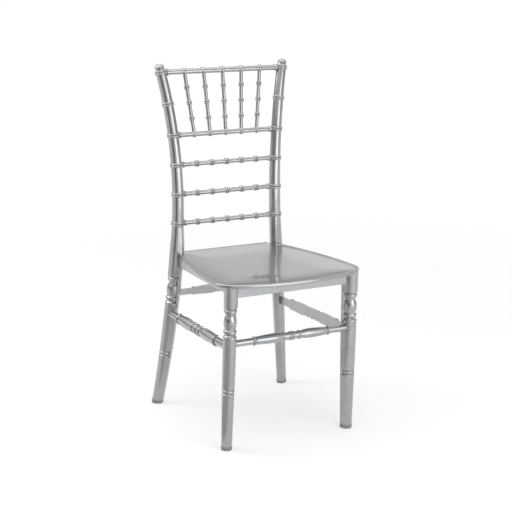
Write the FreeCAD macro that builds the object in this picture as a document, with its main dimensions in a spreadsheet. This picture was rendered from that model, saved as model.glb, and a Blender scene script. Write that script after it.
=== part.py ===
# Chiavari chair moulded in silver plastic: fanned spindle back on two bowed posts,
# dished seat with a rolled rim, D-section legs turned on their outer side, and
# half-round stretchers.
# Millimetres. The floor is Z = 0, the front of the chair faces -Y, and the origin is
# under the middle of the whole chair.
import FreeCAD, Part
import math
import os
from types import SimpleNamespace
from FreeCAD import Placement, Rotation, Vector

UP = Vector(0, 0, 1)
ACROSS = Vector(1, 0, 0)
ORIGIN = Vector(0, 0, 0)

doc = FreeCAD.newDocument("ChiavariChair")
sheet = doc.addObject("Spreadsheet::Sheet", "Sizes")

# Driving sizes: name, value, what it measures
DRIVING_SIZES = [
    ("seam_drop", 2.1, "seat rim above the origin, down to the seam of post and rear leg"),
    ("seam_spread", 150.3, "middle of the chair to the post axis at the seam"),
    ("seam_back", 185.1, "origin back to the post axis at the seam"),
    ("crown_height", 896.5, "floor to the top rail axis"),
    ("crown_spread", 177.1, "middle of the chair to the post axis at the top rail"),
    ("crown_back", 218.3, "origin back to the post axis at the top rail"),
    ("post_bow", 20.6, "height of the post's arc over its chord"),
    ("post_bow_turn", 34.3, "direction of that arc, in degrees from straight inward"),
    ("post_top_radius", 13.3, "post at the top rail"),
    ("post_seam_radius", 16.5, "post at the seam"),
    ("post_stub", 5.5, "post above the top rail axis"),
    ("post_flat", 0.4, "inner flat of the post beyond its round"),
    ("post_ring_width", 11.5, "double ring on a post, along the post"),
    ("post_ring_rise", 2.5, "double ring on a post, beyond its surface"),
    ("spindle_rail_drop", 162, "top rail axis down to the spindle rail axis"),
    ("top_rail_radius", 7.2, "top rail"),
    ("spindle_rail_radius", 6.5, "spindle rail"),
    ("cross_rail_radius", 5.9, "the three cross rails"),
    ("rail_set_in", 6.5, "post axis to the end of a rail in its socket"),
    ("knot_pitch", 43.7, "step between the knots of a cross rail"),
    ("knot_width", 12, "knot of a cross rail, along the rail"),
    ("knot_rise", 3.1, "knot of a cross rail, beyond its surface"),
    ("end_collar_gap", 0.4, "ring of a post to the collar at a rail's end"),
    ("end_collar_width", 6, "collar at a rail's end, along the rail"),
    ("collar_width", 9, "collar on a rail where a spindle meets it"),
    ("collar_rise", 2.6, "that collar, beyond the rail's surface"),
    ("spindle_pitch_top", 55.3, "step between the spindles at the top rail"),
    ("spindle_pitch_low", 45.9, "step between the spindles at the spindle rail"),
    ("spindle_radius", 4.9, "spindle"),
    ("spindle_set_in", 4.5, "rail axis to the end of a spindle in its socket"),
    ("spindle_knot_width", 11, "knot of a spindle, along the spindle"),
    ("spindle_knot_rise", 2.9, "knot of a spindle, beyond its surface"),
    ("finial_height", 17, "finial over its seat on the post"),
    ("finial_radius", 12.8, "widest part of the finial"),
    ("finial_neck_radius", 11.2, "neck under the finial's ball"),
    ("finial_neck_height", 2.2, "that neck, along the finial"),
    ("finial_spigot_radius", 4.5, "spigot of the finial in the post"),
    ("finial_spigot_length", 14, "that spigot, along the post"),
    ("post_spigot_radius", 8.5, "spigot on the rear leg that the post plugs onto"),
    ("post_spigot_length", 34, "that spigot, along the post"),
    ("front_head_spread", 170, "middle of the chair to a front leg's axis under the seat"),
    ("front_head_front", 180.2, "origin forward to a front leg's axis under the seat"),
    ("front_foot_spread", 174.5, "middle of the chair to a front leg's axis at the floor"),
    ("front_foot_front", 169, "origin forward to a front leg's axis at the floor"),
    ("front_head_drop", 2.5, "seat rim down to a front leg's top before the seat shapes it"),
    ("rear_foot_spread", 193.9, "middle of the chair to a rear leg's axis at the floor"),
    ("rear_foot_back", 219, "origin back to a rear leg's axis at the floor"),
    ("rear_bow", 6.75, "height of the rear leg's arc over its chord"),
    ("rear_bow_turn", 64.5, "direction of that arc, in degrees from straight inward"),
    ("leg_head_radius", 17.4, "leg's outer round under the seat"),
    ("leg_knee_radius", 16.5, "leg's outer round at the knee"),
    ("leg_knee_height", 205, "floor to the knee, where the legs start to taper"),
    ("leg_foot_radius", 13.6, "leg's outer round at the floor"),
    ("front_head_depth", 24.8, "leg axis to the inner flat, under the seat, front"),
    ("front_knee_depth", 22, "leg axis to the inner flat, at the knee, front"),
    ("rear_head_depth", 21, "leg axis to the inner flat, at the seam, rear"),
    ("rear_knee_depth", 20.2, "leg axis to the inner flat, at the knee, rear"),
    ("foot_depth", 16.4, "leg axis to the inner flat, at the floor"),
    ("flat_half_width", 5, "half the inner flat between its rounded corners"),
    ("flat_corner_radius", 4, "rounded corner beside the inner flat"),
    ("relief_height", 331.8, "floor to the widest part of a front leg's urn"),
    ("rear_relief_drop", 9, "how much lower the turned work sits on a rear leg"),
    ("relief_open_angle", 46, "angle that the turned work leaves plain, on the inside"),
    ("necklace_reach", 30, "widest part of the urn up to the ring over it"),
    ("necklace_height", 9, "ring over the urn, along the leg"),
    ("necklace_radius", 15.4, "that ring at its two edges"),
    ("necklace_bulge", 0.9, "that ring's swell beyond its edges"),
    ("neck_reach", 16.7, "widest part of the urn up to the neck"),
    ("neck_radius", 12.8, "neck over the urn"),
    ("urn_bulge", 2.9, "swell of the urn beyond its two ends"),
    ("urn_foot_reach", 15.3, "widest part of the urn down to its foot"),
    ("groove_radius", 14.4, "bottom of the grooves beside the beads"),
    ("groove_height", 2, "groove beside a bead, along the leg"),
    ("bead_height", 12, "bead under the urn, along the leg"),
    ("bead_bulge", 2.2, "that bead's swell beyond its edges"),
    ("shoulder_height", 12, "rounded shoulder where the plain leg starts"),
    ("shoulder_bulge", 1.1, "swell of that shoulder"),
    ("ankle_height", 155, "floor to the bead near a front foot"),
    ("ankle_bead_height", 10, "that bead, along the leg"),
    ("ankle_bead_bulge", 1.6, "that bead's swell beyond its edges"),
    ("ankle_groove_depth", 1.6, "grooves beside that bead, below the leg's surface"),
    ("ankle_groove_height", 1.5, "those grooves, along the leg"),
    ("glide_height", 11, "foot glide"),
    ("glide_flare", 0.7, "foot glide beyond the leg's surface"),
    ("glide_round", 2.5, "rounded lower edge of the foot glide"),
    ("glide_spigot_radius", 5, "spigot of the glide in the leg"),
    ("glide_spigot_length", 14, "that spigot, along the leg"),
    ("front_stretcher_height", 276, "floor to the front stretcher axis"),
    ("back_stretcher_height", 312, "floor to the back stretcher axis"),
    ("side_stretcher_front", 264, "floor to a side stretcher at its front end"),
    ("side_stretcher_rear", 252, "floor to a side stretcher at its rear end"),
    ("stretcher_end_radius", 7.5, "plain end of a stretcher"),
    ("stretcher_ring_radius", 10.7, "ring of a stretcher near its end"),
    ("stretcher_bulb_radius", 11.8, "bulb of a stretcher"),
    ("stretcher_waist_radius", 8.1, "waist of a stretcher beside its rings"),
    ("stretcher_bead_radius", 10, "beads in the middle of a stretcher"),
    ("stretcher_ring_width", 7, "ring of a stretcher, along it"),
    ("stretcher_ring_share", 0.305, "middle to end ring, as a share of the leg spacing"),
    ("stretcher_bead_reach", 26, "middle of a stretcher to the outer edge of its beads"),
    ("stretcher_flat", 3, "stretcher axis to its flat inner face"),
    ("stretcher_set_in", 8.8, "leg axis to the end of a stretcher in its socket"),
    ("rim_height", 426.5, "floor to the top of the seat rim, above the origin"),
    ("seat_slope", 1.05, "fall of the seat to the back, in degrees"),
    ("seat_front", 234.2, "origin forward to the middle of the front rim"),
    ("seat_back", 206, "origin back to the back edge"),
    ("seat_tail_half_width", 131, "half the seat's width between the posts"),
    ("seat_front_half_width", 196.6, "half the seat's width across its front corners"),
    ("seat_front_corner", 178, "origin forward to that widest place"),
    ("seat_back_half_width", 152.5, "half the seat's width where it meets the posts"),
    ("seat_front_arc", 474, "radius of the bowed front rim"),
    ("seat_corner_radius", 34, "front corner of the seat"),
    ("bead_radius", 4.5, "rolled rim of the seat"),
    ("seat_edge_drop", 1.6, "top of the rolled rim down to the shell's edge"),
    ("seat_wall", 4, "seat shell"),
    ("dish_shoulder", 42, "rim to the foot of the dish's slope"),
    ("dish_shoulder_depth", 5.5, "dish at that place, below the shell's edge"),
    ("dish_floor", 110, "rim to the floor of the dish"),
    ("dish_depth", 8.5, "floor of the dish below the shell's edge"),
    ("dish_corner_radius", 40, "corners of the dish"),
    ("apron_drop", 34, "seat rim to the lower edge of the side and back aprons"),
    ("front_apron_drop", 36.9, "seat rim to the lower edge of the front apron"),
    ("apron_thickness", 12, "apron"),
    ("apron_rear_gap", 2.4, "slot between a side apron and the rear leg"),
    ("front_apron_front", 184, "origin forward to the face of the front apron"),
    ("back_apron_back", 192, "origin back to the face of the back apron"),
    ("side_apron_front_spread", 167.2, "middle to a side apron's face at the front legs"),
    ("side_apron_rear_spread", 152.4, "middle to a side apron's face at the rear legs"),
    ("tenon_thickness", 6, "tenon at an apron's end"),
    ("tenon_height", 8, "that tenon, upward"),
    ("tenon_drop", 16, "seat rim to the middle of that tenon"),
    ("tenon_end_gap", 11, "end of that tenon to the leg's axis"),
    ("bracket_thickness", 24, "corner bracket, away from the leg"),
    ("bracket_drop", 17, "seat rim to the top of the corner bracket"),
    ("bracket_height", 13.5, "corner bracket, upward"),
    ("bolt_radius", 3, "leg bolt"),
    ("bolt_drop", 24, "seat rim to the leg bolt's axis"),
    ("bolt_in_leg", 13, "leg bolt beyond the leg's inner flat"),
    ("bolt_head_radius", 5, "leg bolt's head"),
    ("bolt_head_height", 4, "leg bolt's head, along the bolt"),
    ("seat_screw_radius", 2.4, "seat screw"),
    ("seat_screw_head_radius", 4.6, "seat screw's head"),
    ("seat_screw_head_height", 3, "seat screw's head, along the screw"),
    ("seat_screw_grip", 6.5, "seat screw in the seat's boss"),
    ("seat_screw_inset", 16, "leg's inner flat to the seat screws"),
    ("seat_boss_radius", 7, "boss under the seat at a seat screw"),
    ("seat_screw_offset", 13, "leg bolt to the seat screw, along the bracket"),
    ("fit", 0.15, "clearance round every spigot, tenon and socketed end"),
    ("seat_fit", 0.3, "clearance between the seat and what it rests on or passes"),
]

sheet.set("A1", "Size")
sheet.set("B1", "Value")
sheet.set("C1", "Meaning")
for row, (name, value, meaning) in enumerate(DRIVING_SIZES, start=2):
    sheet.set("A%d" % row, name)
    sheet.set("B%d" % row, str(value))
    sheet.set("C%d" % row, meaning)
    sheet.setAlias("B%d" % row, name)
doc.recompute()


# A length that keeps the sheet expression it came from beside its number
class Length:
    def __init__(self, value, text):
        self.value = float(value)
        self.text = text

    def __add__(self, other):
        other = as_length(other)
        return Length(self.value + other.value, "(%s + %s)" % (self.text, other.text))

    def __sub__(self, other):
        other = as_length(other)
        return Length(self.value - other.value, "(%s - %s)" % (self.text, other.text))

    def __mul__(self, other):
        other = as_length(other)
        return Length(self.value * other.value, "%s * %s" % (self.text, other.text))

    def __truediv__(self, other):
        other = as_length(other)
        return Length(self.value / other.value, "%s / %s" % (self.text, other.text))


def as_length(number):
    if isinstance(number, Length):
        return number
    return Length(number, "%.6f" % number)


ZERO = as_length(0)
names = [name for name, value, meaning in DRIVING_SIZES]
size = SimpleNamespace(**{name: Length(sheet.get(name), "Sizes." + name) for name in names})
mm = SimpleNamespace(**{name: float(sheet.get(name)) for name in names})


# Heights that hang on others. The three cross rails share out the space between the
# spindle rail and the seam, and a ring marks the middle of the spindles.
seam_height = mm.rim_height - mm.seam_drop
front_head_height = mm.rim_height - mm.front_head_drop
spindle_rail_height = mm.crown_height - mm.spindle_rail_drop
cross_rail_pitch = (spindle_rail_height - seam_height) / 4
middle_ring_height = (mm.crown_height + spindle_rail_height) / 2
flare_top = spindle_rail_height - 3 * cross_rail_pitch - mm.post_ring_width


# Every finished piece, by the name of its file
pieces = {}


def finish(name, thing):
    """Name a finished piece after its file."""
    thing.Label = name
    pieces[name] = thing
    return thing


def feature(name, shape, placement=None):
    """A piece whose shape is worked out here from the sheet's values."""
    thing = doc.addObject("Part::Feature", name)
    thing.Shape = shape
    if placement is not None:
        thing.Placement = placement
    return finish(name, thing)


# Round pieces are drawn with flat sides, which keeps the model light
ROD_SIDES = 8
TURNED_SIDES = 12


def prism(name, radius, length, place, sides=ROD_SIDES):
    """A many-sided bar along Z from a place, with its sizes bound to the sheet."""
    bar = doc.addObject("Part::Prism", name)
    bar.Polygon = sides
    bar.setExpression("Circumradius", radius.text)
    bar.setExpression("Height", length.text)
    bar.setExpression("Placement.Base.z", place.text)
    return bar


def joined(name, parts):
    """Several shapes made one piece."""
    whole = doc.addObject("Part::MultiFuse", name)
    whole.Shapes = parts
    return whole


def rod_with_knots(name, length, radius, knots):
    """A straight rod along Z with groups of evenly spaced rings.

    Each group is (first place, pitch, count, bands of one ring), and each band is
    (from, to, radius) measured from the middle of its ring."""
    parts = [prism(name + "_bar", radius, length, ZERO)]
    for first, pitch, count, bands in knots:
        for step in range(count):
            middle = first + pitch * step
            for low, high, band_radius in bands:
                label = "%s_band%d" % (name, len(parts))
                parts.append(prism(label, band_radius, high - low, middle + low))
    return joined(name, parts)


def double_ring(radius, width, rise):
    """Two ridges side by side round a rod, with a narrow valley between."""
    ridge = width * 0.38
    half = width / 2
    return [(half * -1, ridge - half, radius + rise), (half - ridge, half, radius + rise)]


def collar(radius, width, rise):
    """A plain band round a rod."""
    return [(width / -2, width / 2, radius + rise)]


# Solids from rings of points: neighbouring rings are joined by flat faces
def flat_faces(corners):
    """One face where four corners lie in a plane, and otherwise two, cut the short way."""
    a, b, c, d = corners
    if (c - a).Length > (d - b).Length:
        a, b, c, d = b, c, d, a
    across = (b - a).cross(c - a)
    if abs(across.dot(d - a)) < 1e-8 * across.Length:
        pieces = [(a, b, c, d)]
    else:
        pieces = [(a, b, c), (a, c, d)]
    return [Part.Face(Part.makePolygon(list(piece) + [piece[0]])) for piece in pieces]


def faceted(rings):
    """A closed solid through rings that all have the same number of points."""
    faces = [Part.Face(Part.makePolygon(ring + ring[:1])) for ring in (rings[0], rings[-1])]
    count = len(rings[0])
    for lower, upper in zip(rings, rings[1:]):
        for number in range(count):
            follow = (number + 1) % count
            faces += flat_faces((lower[number], lower[follow], upper[follow], upper[number]))
    shell = Part.Shell(faces)
    shell.sewShape()
    solid = Part.Solid(shell)
    if solid.Volume < 0:
        solid.reverse()
    return solid


def ring_points(point, direction, radius, sides):
    """Corners of a regular polygon across a direction."""
    turned = Placement(point, Rotation(UP, direction))
    points = []
    for number in range(sides):
        turn = 2 * math.pi * number / sides
        points.append(turned.multVec(Vector(radius * math.cos(turn), radius * math.sin(turn), 0)))
    return points


def turned_solid(start, direction, profile, sides):
    """A turned form through (place, radius) rings along a direction."""
    return faceted([ring_points(start + direction * place, direction, radius, sides)
                    for place, radius in profile])


# Axes of posts and legs: an arc over a chord, or a straight line when it has no bow
class BowedLine:
    def __init__(self, low, high, bow=0.0, turn=0.0):
        self.low = low
        self.high = high
        self.along = (high - low).normalize()
        self.bow = bow
        if bow:
            heading = Vector(-math.cos(math.radians(turn)), -math.sin(math.radians(turn)), 0)
            self.side = (heading - self.along * heading.dot(self.along)).normalize()
            chord = (high - low).Length
            self.radius = (chord ** 2 / 4 + bow ** 2) / (2 * bow)
            self.centre = (low + high) * 0.5 + self.side * (bow - self.radius)
            self.half_angle = math.asin(chord / 2 / self.radius)

    def place(self, share):
        """Point and direction at a share of the way up, 0 to 1 and a little beyond."""
        if not self.bow:
            return self.low + (self.high - self.low) * share, Vector(self.along)
        angle = (2 * share - 1) * self.half_angle
        point = (self.centre + self.side * (self.radius * math.cos(angle))
                 + self.along * (self.radius * math.sin(angle)))
        return point, self.along * math.cos(angle) - self.side * math.sin(angle)

    def at_height(self, height):
        """Point and direction where the axis passes a height."""
        low, high = -0.5, 1.5
        for step in range(50):
            middle = (low + high) / 2
            if self.place(middle)[0].z < height:
                low = middle
            else:
                high = middle
        return self.place((low + high) / 2)


seam_point = Vector(mm.seam_spread, mm.seam_back, seam_height)
post_axis = BowedLine(seam_point, Vector(mm.crown_spread, mm.crown_back, mm.crown_height),
                      mm.post_bow, mm.post_bow_turn)
rear_axis = BowedLine(Vector(mm.rear_foot_spread, mm.rear_foot_back, 0), seam_point,
                      mm.rear_bow, mm.rear_bow_turn)
front_axis = BowedLine(Vector(mm.front_foot_spread, -mm.front_foot_front, 0),
                       Vector(mm.front_head_spread, -mm.front_head_front,
                              front_head_height))
REAR_OUTWARD = Vector(1, 1, 0).normalize()
FRONT_OUTWARD = Vector(1, -1, 0).normalize()


def level(low, low_value, high, high_value, height):
    """Value at a height on a straight change between two heights."""
    return low_value + (high_value - low_value) * (height - low) / (high - low)


# D section: round on the outside, narrowing to a flat with rounded corners inside
def d_reach(turn, radius, depth):
    """Distance from the axis to the outline, by the angle from the outward side."""
    turn = abs(turn)
    corner = mm.flat_corner_radius
    half = mm.flat_half_width
    bearing = math.atan2(half, corner - depth)
    normal = bearing - math.acos((radius - corner) / math.hypot(depth - corner, half))
    if turn <= normal:
        return radius
    if turn <= math.atan2(half + corner * math.sin(normal),
                          corner - depth + corner * math.cos(normal)):
        return radius / math.cos(turn - normal)
    if turn <= math.atan2(half, -depth):
        part = (corner - depth) * math.cos(turn) + half * math.sin(turn)
        return part + math.sqrt(part ** 2 - (depth - corner) ** 2 - half ** 2 + corner ** 2)
    return -depth / math.cos(turn)


OUTER_COLUMNS = 11


def d_turns(depth):
    """Angles from outward to the corners of a section: the outer round, then the web."""
    edge = math.radians(180 - mm.relief_open_angle / 2)
    step = 2 * edge / (OUTER_COLUMNS - 1)
    outer = [(-edge + step * number, False) for number in range(OUTER_COLUMNS)]
    flat_edge = math.atan2(mm.flat_half_width, -depth)
    return outer + [(flat_edge, True), (-flat_edge, True)]


def d_ring(point, direction, outward, radius, depth, turned=None):
    """Corners of a D section. Turned work narrows it, but leaves its inner web plain."""
    out = (outward - direction * outward.dot(direction)).normalize()
    side = direction.cross(out)
    points = []
    for turn, in_web in d_turns(depth):
        reach = d_reach(turn, radius, depth)
        if turned and not in_web:
            reach = min(reach, turned)
        points.append(point + out * (reach * math.cos(turn)) + side * (reach * math.sin(turn)))
    return points


def d_bar(axis, outward, stations, extra=0.0):
    """A bar through D sections, each station (height, radius, depth)."""
    rings = []
    for height, radius, depth in stations:
        point, direction = axis.at_height(height)
        rings.append(d_ring(point, direction, outward, radius + extra, depth + extra))
    return faceted(rings)


def round_peg(start, direction, radius, length):
    return turned_solid(start, direction, [(0, radius), (length, radius)], ROD_SIDES)


def leg_stations(head, head_depth, knee_depth, steps):
    """Sections of a leg, with the spans below and above the knee in equal steps."""
    knee = mm.leg_knee_height
    spans = (((0, mm.leg_foot_radius, mm.foot_depth), (knee, mm.leg_knee_radius, knee_depth)),
             ((knee, mm.leg_knee_radius, knee_depth), (head, mm.leg_head_radius, head_depth)))
    stations = [spans[0][0]]
    for low, high in spans:
        for step in range(1, steps + 1):
            stations.append(tuple(a + (b - a) * step / steps for a, b in zip(low, high)))
    return stations


def section_at(stations, height):
    """Radius and depth of a leg at a height between two of its sections."""
    for low, high in zip(stations, stations[1:]):
        if height <= high[0]:
            break
    return (level(low[0], low[1], high[0], high[1], height),
            level(low[0], low[2], high[0], high[2], height))


front_stations = leg_stations(front_head_height, mm.front_head_depth,
                              mm.front_knee_depth, 1)
rear_stations = leg_stations(seam_height, mm.rear_head_depth, mm.rear_knee_depth, 3)


def swelling(low, low_radius, high, high_radius, bulge, steps):
    """Places and radii from low to high, with a bulge followed in straight steps."""
    points = []
    for step in range(steps + 1):
        share = step / steps
        swell = bulge * (1 - (2 * share - 1) ** 2)
        points.append((low + (high - low) * share,
                       low_radius + (high_radius - low_radius) * share + swell))
    return points


def turned_work(lower_by):
    """What is turned on a leg, from the foot up, as (height, radius)."""
    rim = mm.leg_head_radius
    groove = mm.groove_radius
    step = mm.groove_height
    urn = mm.relief_height - lower_by
    ring_top = urn + mm.necklace_reach + mm.necklace_height / 2
    ring_foot = ring_top - mm.necklace_height
    urn_foot = urn - mm.urn_foot_reach
    bead_foot = urn_foot - step - mm.bead_height
    shoulder_top = bead_foot - step
    ankle = mm.ankle_height - lower_by
    skin = level(0, mm.leg_foot_radius, mm.leg_knee_height, mm.leg_knee_radius, ankle)
    low = skin - mm.ankle_groove_depth
    half = mm.ankle_bead_height / 2
    cut = mm.ankle_groove_height
    return (
        [(ankle - half - 3 * cut, skin), (ankle - half - cut, low)]
        + swelling(ankle - half, low, ankle + half, low, mm.ankle_bead_bulge, 2)
        + [(ankle + half + cut, low), (ankle + half + 2 * cut, skin + cut)]
        + swelling(shoulder_top - mm.shoulder_height, rim, shoulder_top, groove,
                   mm.shoulder_bulge, 2)
        + swelling(bead_foot, groove, urn_foot - step, groove, mm.bead_bulge, 2)
        + swelling(urn_foot, groove, urn + mm.neck_reach, mm.neck_radius, mm.urn_bulge, 3)
        + swelling(ring_foot, mm.necklace_radius, ring_top, mm.necklace_radius,
                   mm.necklace_bulge, 2)
        + [(ring_top + step / 2, mm.necklace_radius), (ring_top + 2 * step, rim)])


def mirrored(shape):
    return shape.mirror(ORIGIN, ACROSS)


def both_sides(name, right_shape):
    """A piece and its mirror image on the other side of the chair."""
    feature(name + "_right", right_shape)
    feature(name + "_left", mirrored(right_shape))


# Heights of the rails, and where their axes meet the post axes
RAIL_HEIGHTS = {
    "top_rail": mm.crown_height,
    "spindle_rail": spindle_rail_height,
    "rail_upper": spindle_rail_height - cross_rail_pitch,
    "rail_middle": spindle_rail_height - 2 * cross_rail_pitch,
    "rail_lower": spindle_rail_height - 3 * cross_rail_pitch,
}
RAIL_RADII = {
    "top_rail": size.top_rail_radius,
    "spindle_rail": size.spindle_rail_radius,
    "rail_upper": size.cross_rail_radius,
    "rail_middle": size.cross_rail_radius,
    "rail_lower": size.cross_rail_radius,
}
SPINDLE_COUNT = 5
rail_ends = {name: post_axis.at_height(height)[0] for name, height in RAIL_HEIGHTS.items()}


# Posts: bowed and tapering, with a double ring at every rail, plugged onto the legs
def post_radius(height):
    return level(seam_height, mm.post_seam_radius, mm.crown_height, mm.post_top_radius,
                 height)


def make_post():
    top = mm.crown_height + mm.post_stub
    halfway = (seam_height + flare_top) / 2
    flare_depth = (mm.rear_head_depth + post_radius(flare_top) + mm.post_flat) / 2
    stations = [(seam_height, mm.leg_head_radius, mm.rear_head_depth),
                (halfway, post_radius(halfway), flare_depth)]
    rings = [d_ring(*post_axis.at_height(height), REAR_OUTWARD, radius, depth)
             for height, radius, depth in stations]
    half = mm.post_ring_width / 2
    rise = mm.post_ring_rise
    places = []
    for height in sorted(list(RAIL_HEIGHTS.values()) + [middle_ring_height]):
        places += [(height - half, 0), (height - half / 2, rise), (height, rise * 0.45),
                   (height + half / 2, rise), (height + half, 0)]
    for height, swell in places + [(top, 0)]:
        radius = post_radius(height) + swell
        rings.append(d_ring(*post_axis.at_height(height), REAR_OUTWARD, radius,
                            radius + mm.post_flat))
    post = faceted(rings)
    tools = []
    for name, end in rail_ends.items():
        radius = RAIL_RADII[name].value + mm.fit
        length = 4 * mm.post_seam_radius
        start = end - ACROSS * (mm.rail_set_in - mm.fit + length)
        tools.append(round_peg(start, ACROSS, radius, length))
    point, direction = post_axis.at_height(seam_height)
    tools.append(round_peg(point - direction * mm.post_spigot_radius, direction,
                           mm.post_spigot_radius + mm.fit,
                           mm.post_spigot_radius + mm.post_spigot_length + mm.fit))
    point, direction = post_axis.at_height(top)
    reach = mm.finial_spigot_length + mm.fit
    tools.append(round_peg(point - direction * reach, direction,
                           mm.finial_spigot_radius + mm.fit, 2 * reach))
    return post.cut(tools)


both_sides("post", make_post())


# Rails: turned rods with knots, collars at the spindles, and an end collar at each post
def along_x(end, length):
    return Placement(Vector(-length / 2, end.y, end.z), Rotation(UP, ACROSS))


def rail_length(name):
    return 2 * (rail_ends[name].x - mm.rail_set_in)


def end_collars(name):
    """First place and pitch of the collars that stand against the posts' rings."""
    height = RAIL_HEIGHTS[name]
    reach = (post_radius(height) + mm.post_ring_rise + mm.end_collar_gap
             + mm.end_collar_width / 2 - mm.rail_set_in)
    return as_length(reach), as_length(rail_length(name) - 2 * reach)


def make_rail(name, rod_name, pitch, width, rise, ring):
    length = as_length(rail_length(name))
    radius = RAIL_RADII[name]
    first = length / 2 - pitch * ((SPINDLE_COUNT - 1) / 2)
    end, span = end_collars(name)
    return rod_with_knots(rod_name, length, radius, [
        (first, pitch, SPINDLE_COUNT, ring(radius, width, rise)),
        (end, span, 2, collar(radius, size.end_collar_width, size.collar_rise)),
    ])


for name in ("rail_upper", "rail_middle", "rail_lower"):
    rail = make_rail(name, name, size.knot_pitch, size.knot_width, size.knot_rise,
                     double_ring)
    rail.Placement = along_x(rail_ends[name], rail_length(name))
    finish(name, rail)


# Spindles: fanned between the spindle rail and the top rail, set into both
def spindle_ends(number):
    steps = number - (SPINDLE_COUNT - 1) / 2
    low = Vector(steps * mm.spindle_pitch_low, rail_ends["spindle_rail"].y,
                 spindle_rail_height)
    high = Vector(steps * mm.spindle_pitch_top, rail_ends["top_rail"].y, mm.crown_height)
    return low, high


def make_spindle(number):
    low, high = spindle_ends(number)
    along = high - low
    reach = as_length(along.Length)
    along.normalize()
    spindle = rod_with_knots(
        "spindle_%d" % (number + 1), reach - size.spindle_set_in * 2, size.spindle_radius,
        [(reach / 4 - size.spindle_set_in, reach / 4, 3, double_ring(
            size.spindle_radius, size.spindle_knot_width, size.spindle_knot_rise))])
    spindle.Placement = Placement(low + along * mm.spindle_set_in, Rotation(UP, along))
    return finish("spindle_%d" % (number + 1), spindle)


def cut_away(name, base, tools):
    """A piece with clearances cut out of it."""
    tool = doc.addObject("Part::Feature", name + "_clearance")
    tool.Shape = Part.makeCompound(tools)
    cut = doc.addObject("Part::Cut", name + "_cut")
    cut.Base = base
    cut.Tool = tool
    return finish(name, cut)


for number in range(SPINDLE_COUNT):
    make_spindle(number)

for name, pitch, upward in (("top_rail", size.spindle_pitch_top, False),
                            ("spindle_rail", size.spindle_pitch_low, True)):
    rail = make_rail(name, name + "_rod", pitch, size.collar_width, size.collar_rise, collar)
    rail.Placement = along_x(rail_ends[name], rail_length(name))
    sockets = []
    for number in range(SPINDLE_COUNT):
        low, high = spindle_ends(number)
        along = (high - low).normalize()
        reach = 4 * mm.spindle_radius
        inset = mm.spindle_set_in - mm.fit
        start = low + along * inset if upward else high - along * (inset + reach)
        sockets.append(round_peg(start, along, mm.spindle_radius + mm.fit, reach))
    cut_away(name, rail, sockets)


# Finials: a ball on a short neck, with a spigot in the post
# The ball's curve, as shares of its height and of its widest radius
FINIAL_CURVE = ((0.12, 0.97), (0.28, 1), (0.5, 0.95), (0.7, 0.81), (0.86, 0.59), (0.96, 0.32),
                (1, 0.1))


def make_finial():
    seat, lean = post_axis.at_height(mm.crown_height + mm.post_stub)
    neck = mm.finial_neck_height
    ball = mm.finial_height - neck
    profile = [(0, mm.finial_neck_radius), (neck, mm.finial_neck_radius)]
    for place, share in FINIAL_CURVE:
        profile.append((neck + ball * place, mm.finial_radius * share))
    reach = mm.finial_spigot_length
    spigot = round_peg(seat - lean * reach, lean, mm.finial_spigot_radius, reach + neck)
    return turned_solid(seat, lean, profile, TURNED_SIDES).fuse(spigot)


both_sides("finial", make_finial())


# Stretchers: turned half-rounds with a flat inner face, set into the legs
def mirror_point(point):
    return Vector(-point.x, point.y, point.z)


def stretcher_run(axis_a, height_a, axis_b, height_b, flip_b=False):
    """Ends of a stretcher on its own axis, pulled back from the leg axes."""
    start = axis_a.at_height(height_a)[0]
    stop = axis_b.at_height(height_b)[0]
    if flip_b:
        start = mirror_point(start)
    along = (stop - start).normalize()
    return start + along * mm.stretcher_set_in, stop - along * mm.stretcher_set_in


def facing(along, inward):
    """Rotation with local Z along the stretcher and local X into the chair."""
    across = (inward - along * inward.dot(along)).normalize()
    return Rotation(across, along.cross(across), along, "ZXY")


# A bulb's curve from ring to beads, as shares of its length and of its swell
BULB_CURVE = ((0.18, 0.6), (0.4, 0.97), (0.6, 0.97), (0.82, 0.6))


def half_round_ring(place, radius, flat):
    """Corners of a half-round across Z: its round side, closed by the flat."""
    edge = math.acos(flat / radius)
    points = []
    for number in range(HALF_ROUND_COLUMNS):
        turn = edge + 2 * (math.pi - edge) * number / (HALF_ROUND_COLUMNS - 1)
        points.append(Vector(radius * math.cos(turn), radius * math.sin(turn), place))
    return points


HALF_ROUND_COLUMNS = 7


def make_stretcher(name, start, stop, inward):
    length = (stop - start).Length
    middle = length / 2
    ring = (length + mm.stretcher_set_in * 2) * mm.stretcher_ring_share
    half = mm.stretcher_ring_width / 2
    end, ringed = mm.stretcher_end_radius, mm.stretcher_ring_radius
    waist, bead = mm.stretcher_waist_radius, mm.stretcher_bead_radius
    reach = mm.stretcher_bead_reach
    bulb = mm.stretcher_bulb_radius
    inner = ring - half
    belly = inner - reach
    profile = [(0, end), (middle - ring - half, end), (middle - ring - half / 2, ringed),
               (middle - ring + half / 2, ringed), (middle - inner, waist)]
    for place, share in BULB_CURVE:
        profile.append((middle - inner + belly * place, waist + (bulb - waist) * share))
    profile += [(middle - reach, waist), (middle - reach + half / 2, bead),
                (middle - reach + half * 1.5, bead), (middle - reach + half * 2, waist),
                (middle - half * 2, waist), (middle - half, bead)]
    profile += ([(middle, waist)]
                + [(length - place, radius) for place, radius in reversed(profile)])
    bar = faceted([half_round_ring(place, radius, mm.stretcher_flat)
                   for place, radius in profile])
    return feature(name, bar, Placement(start, facing((stop - start).normalize(), inward)))


def half_round(start, stop, inward, extra, run_out):
    """Clearance for a stretcher's end, from inside the leg out past its surface."""
    along = (stop - start).normalize()
    radius = mm.stretcher_end_radius + extra
    rod = faceted([half_round_ring(place, radius, mm.stretcher_flat + extra)
                   for place in (0, run_out)])
    rod.Placement = Placement(start - along * extra, facing(along, inward))
    return rod


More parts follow.
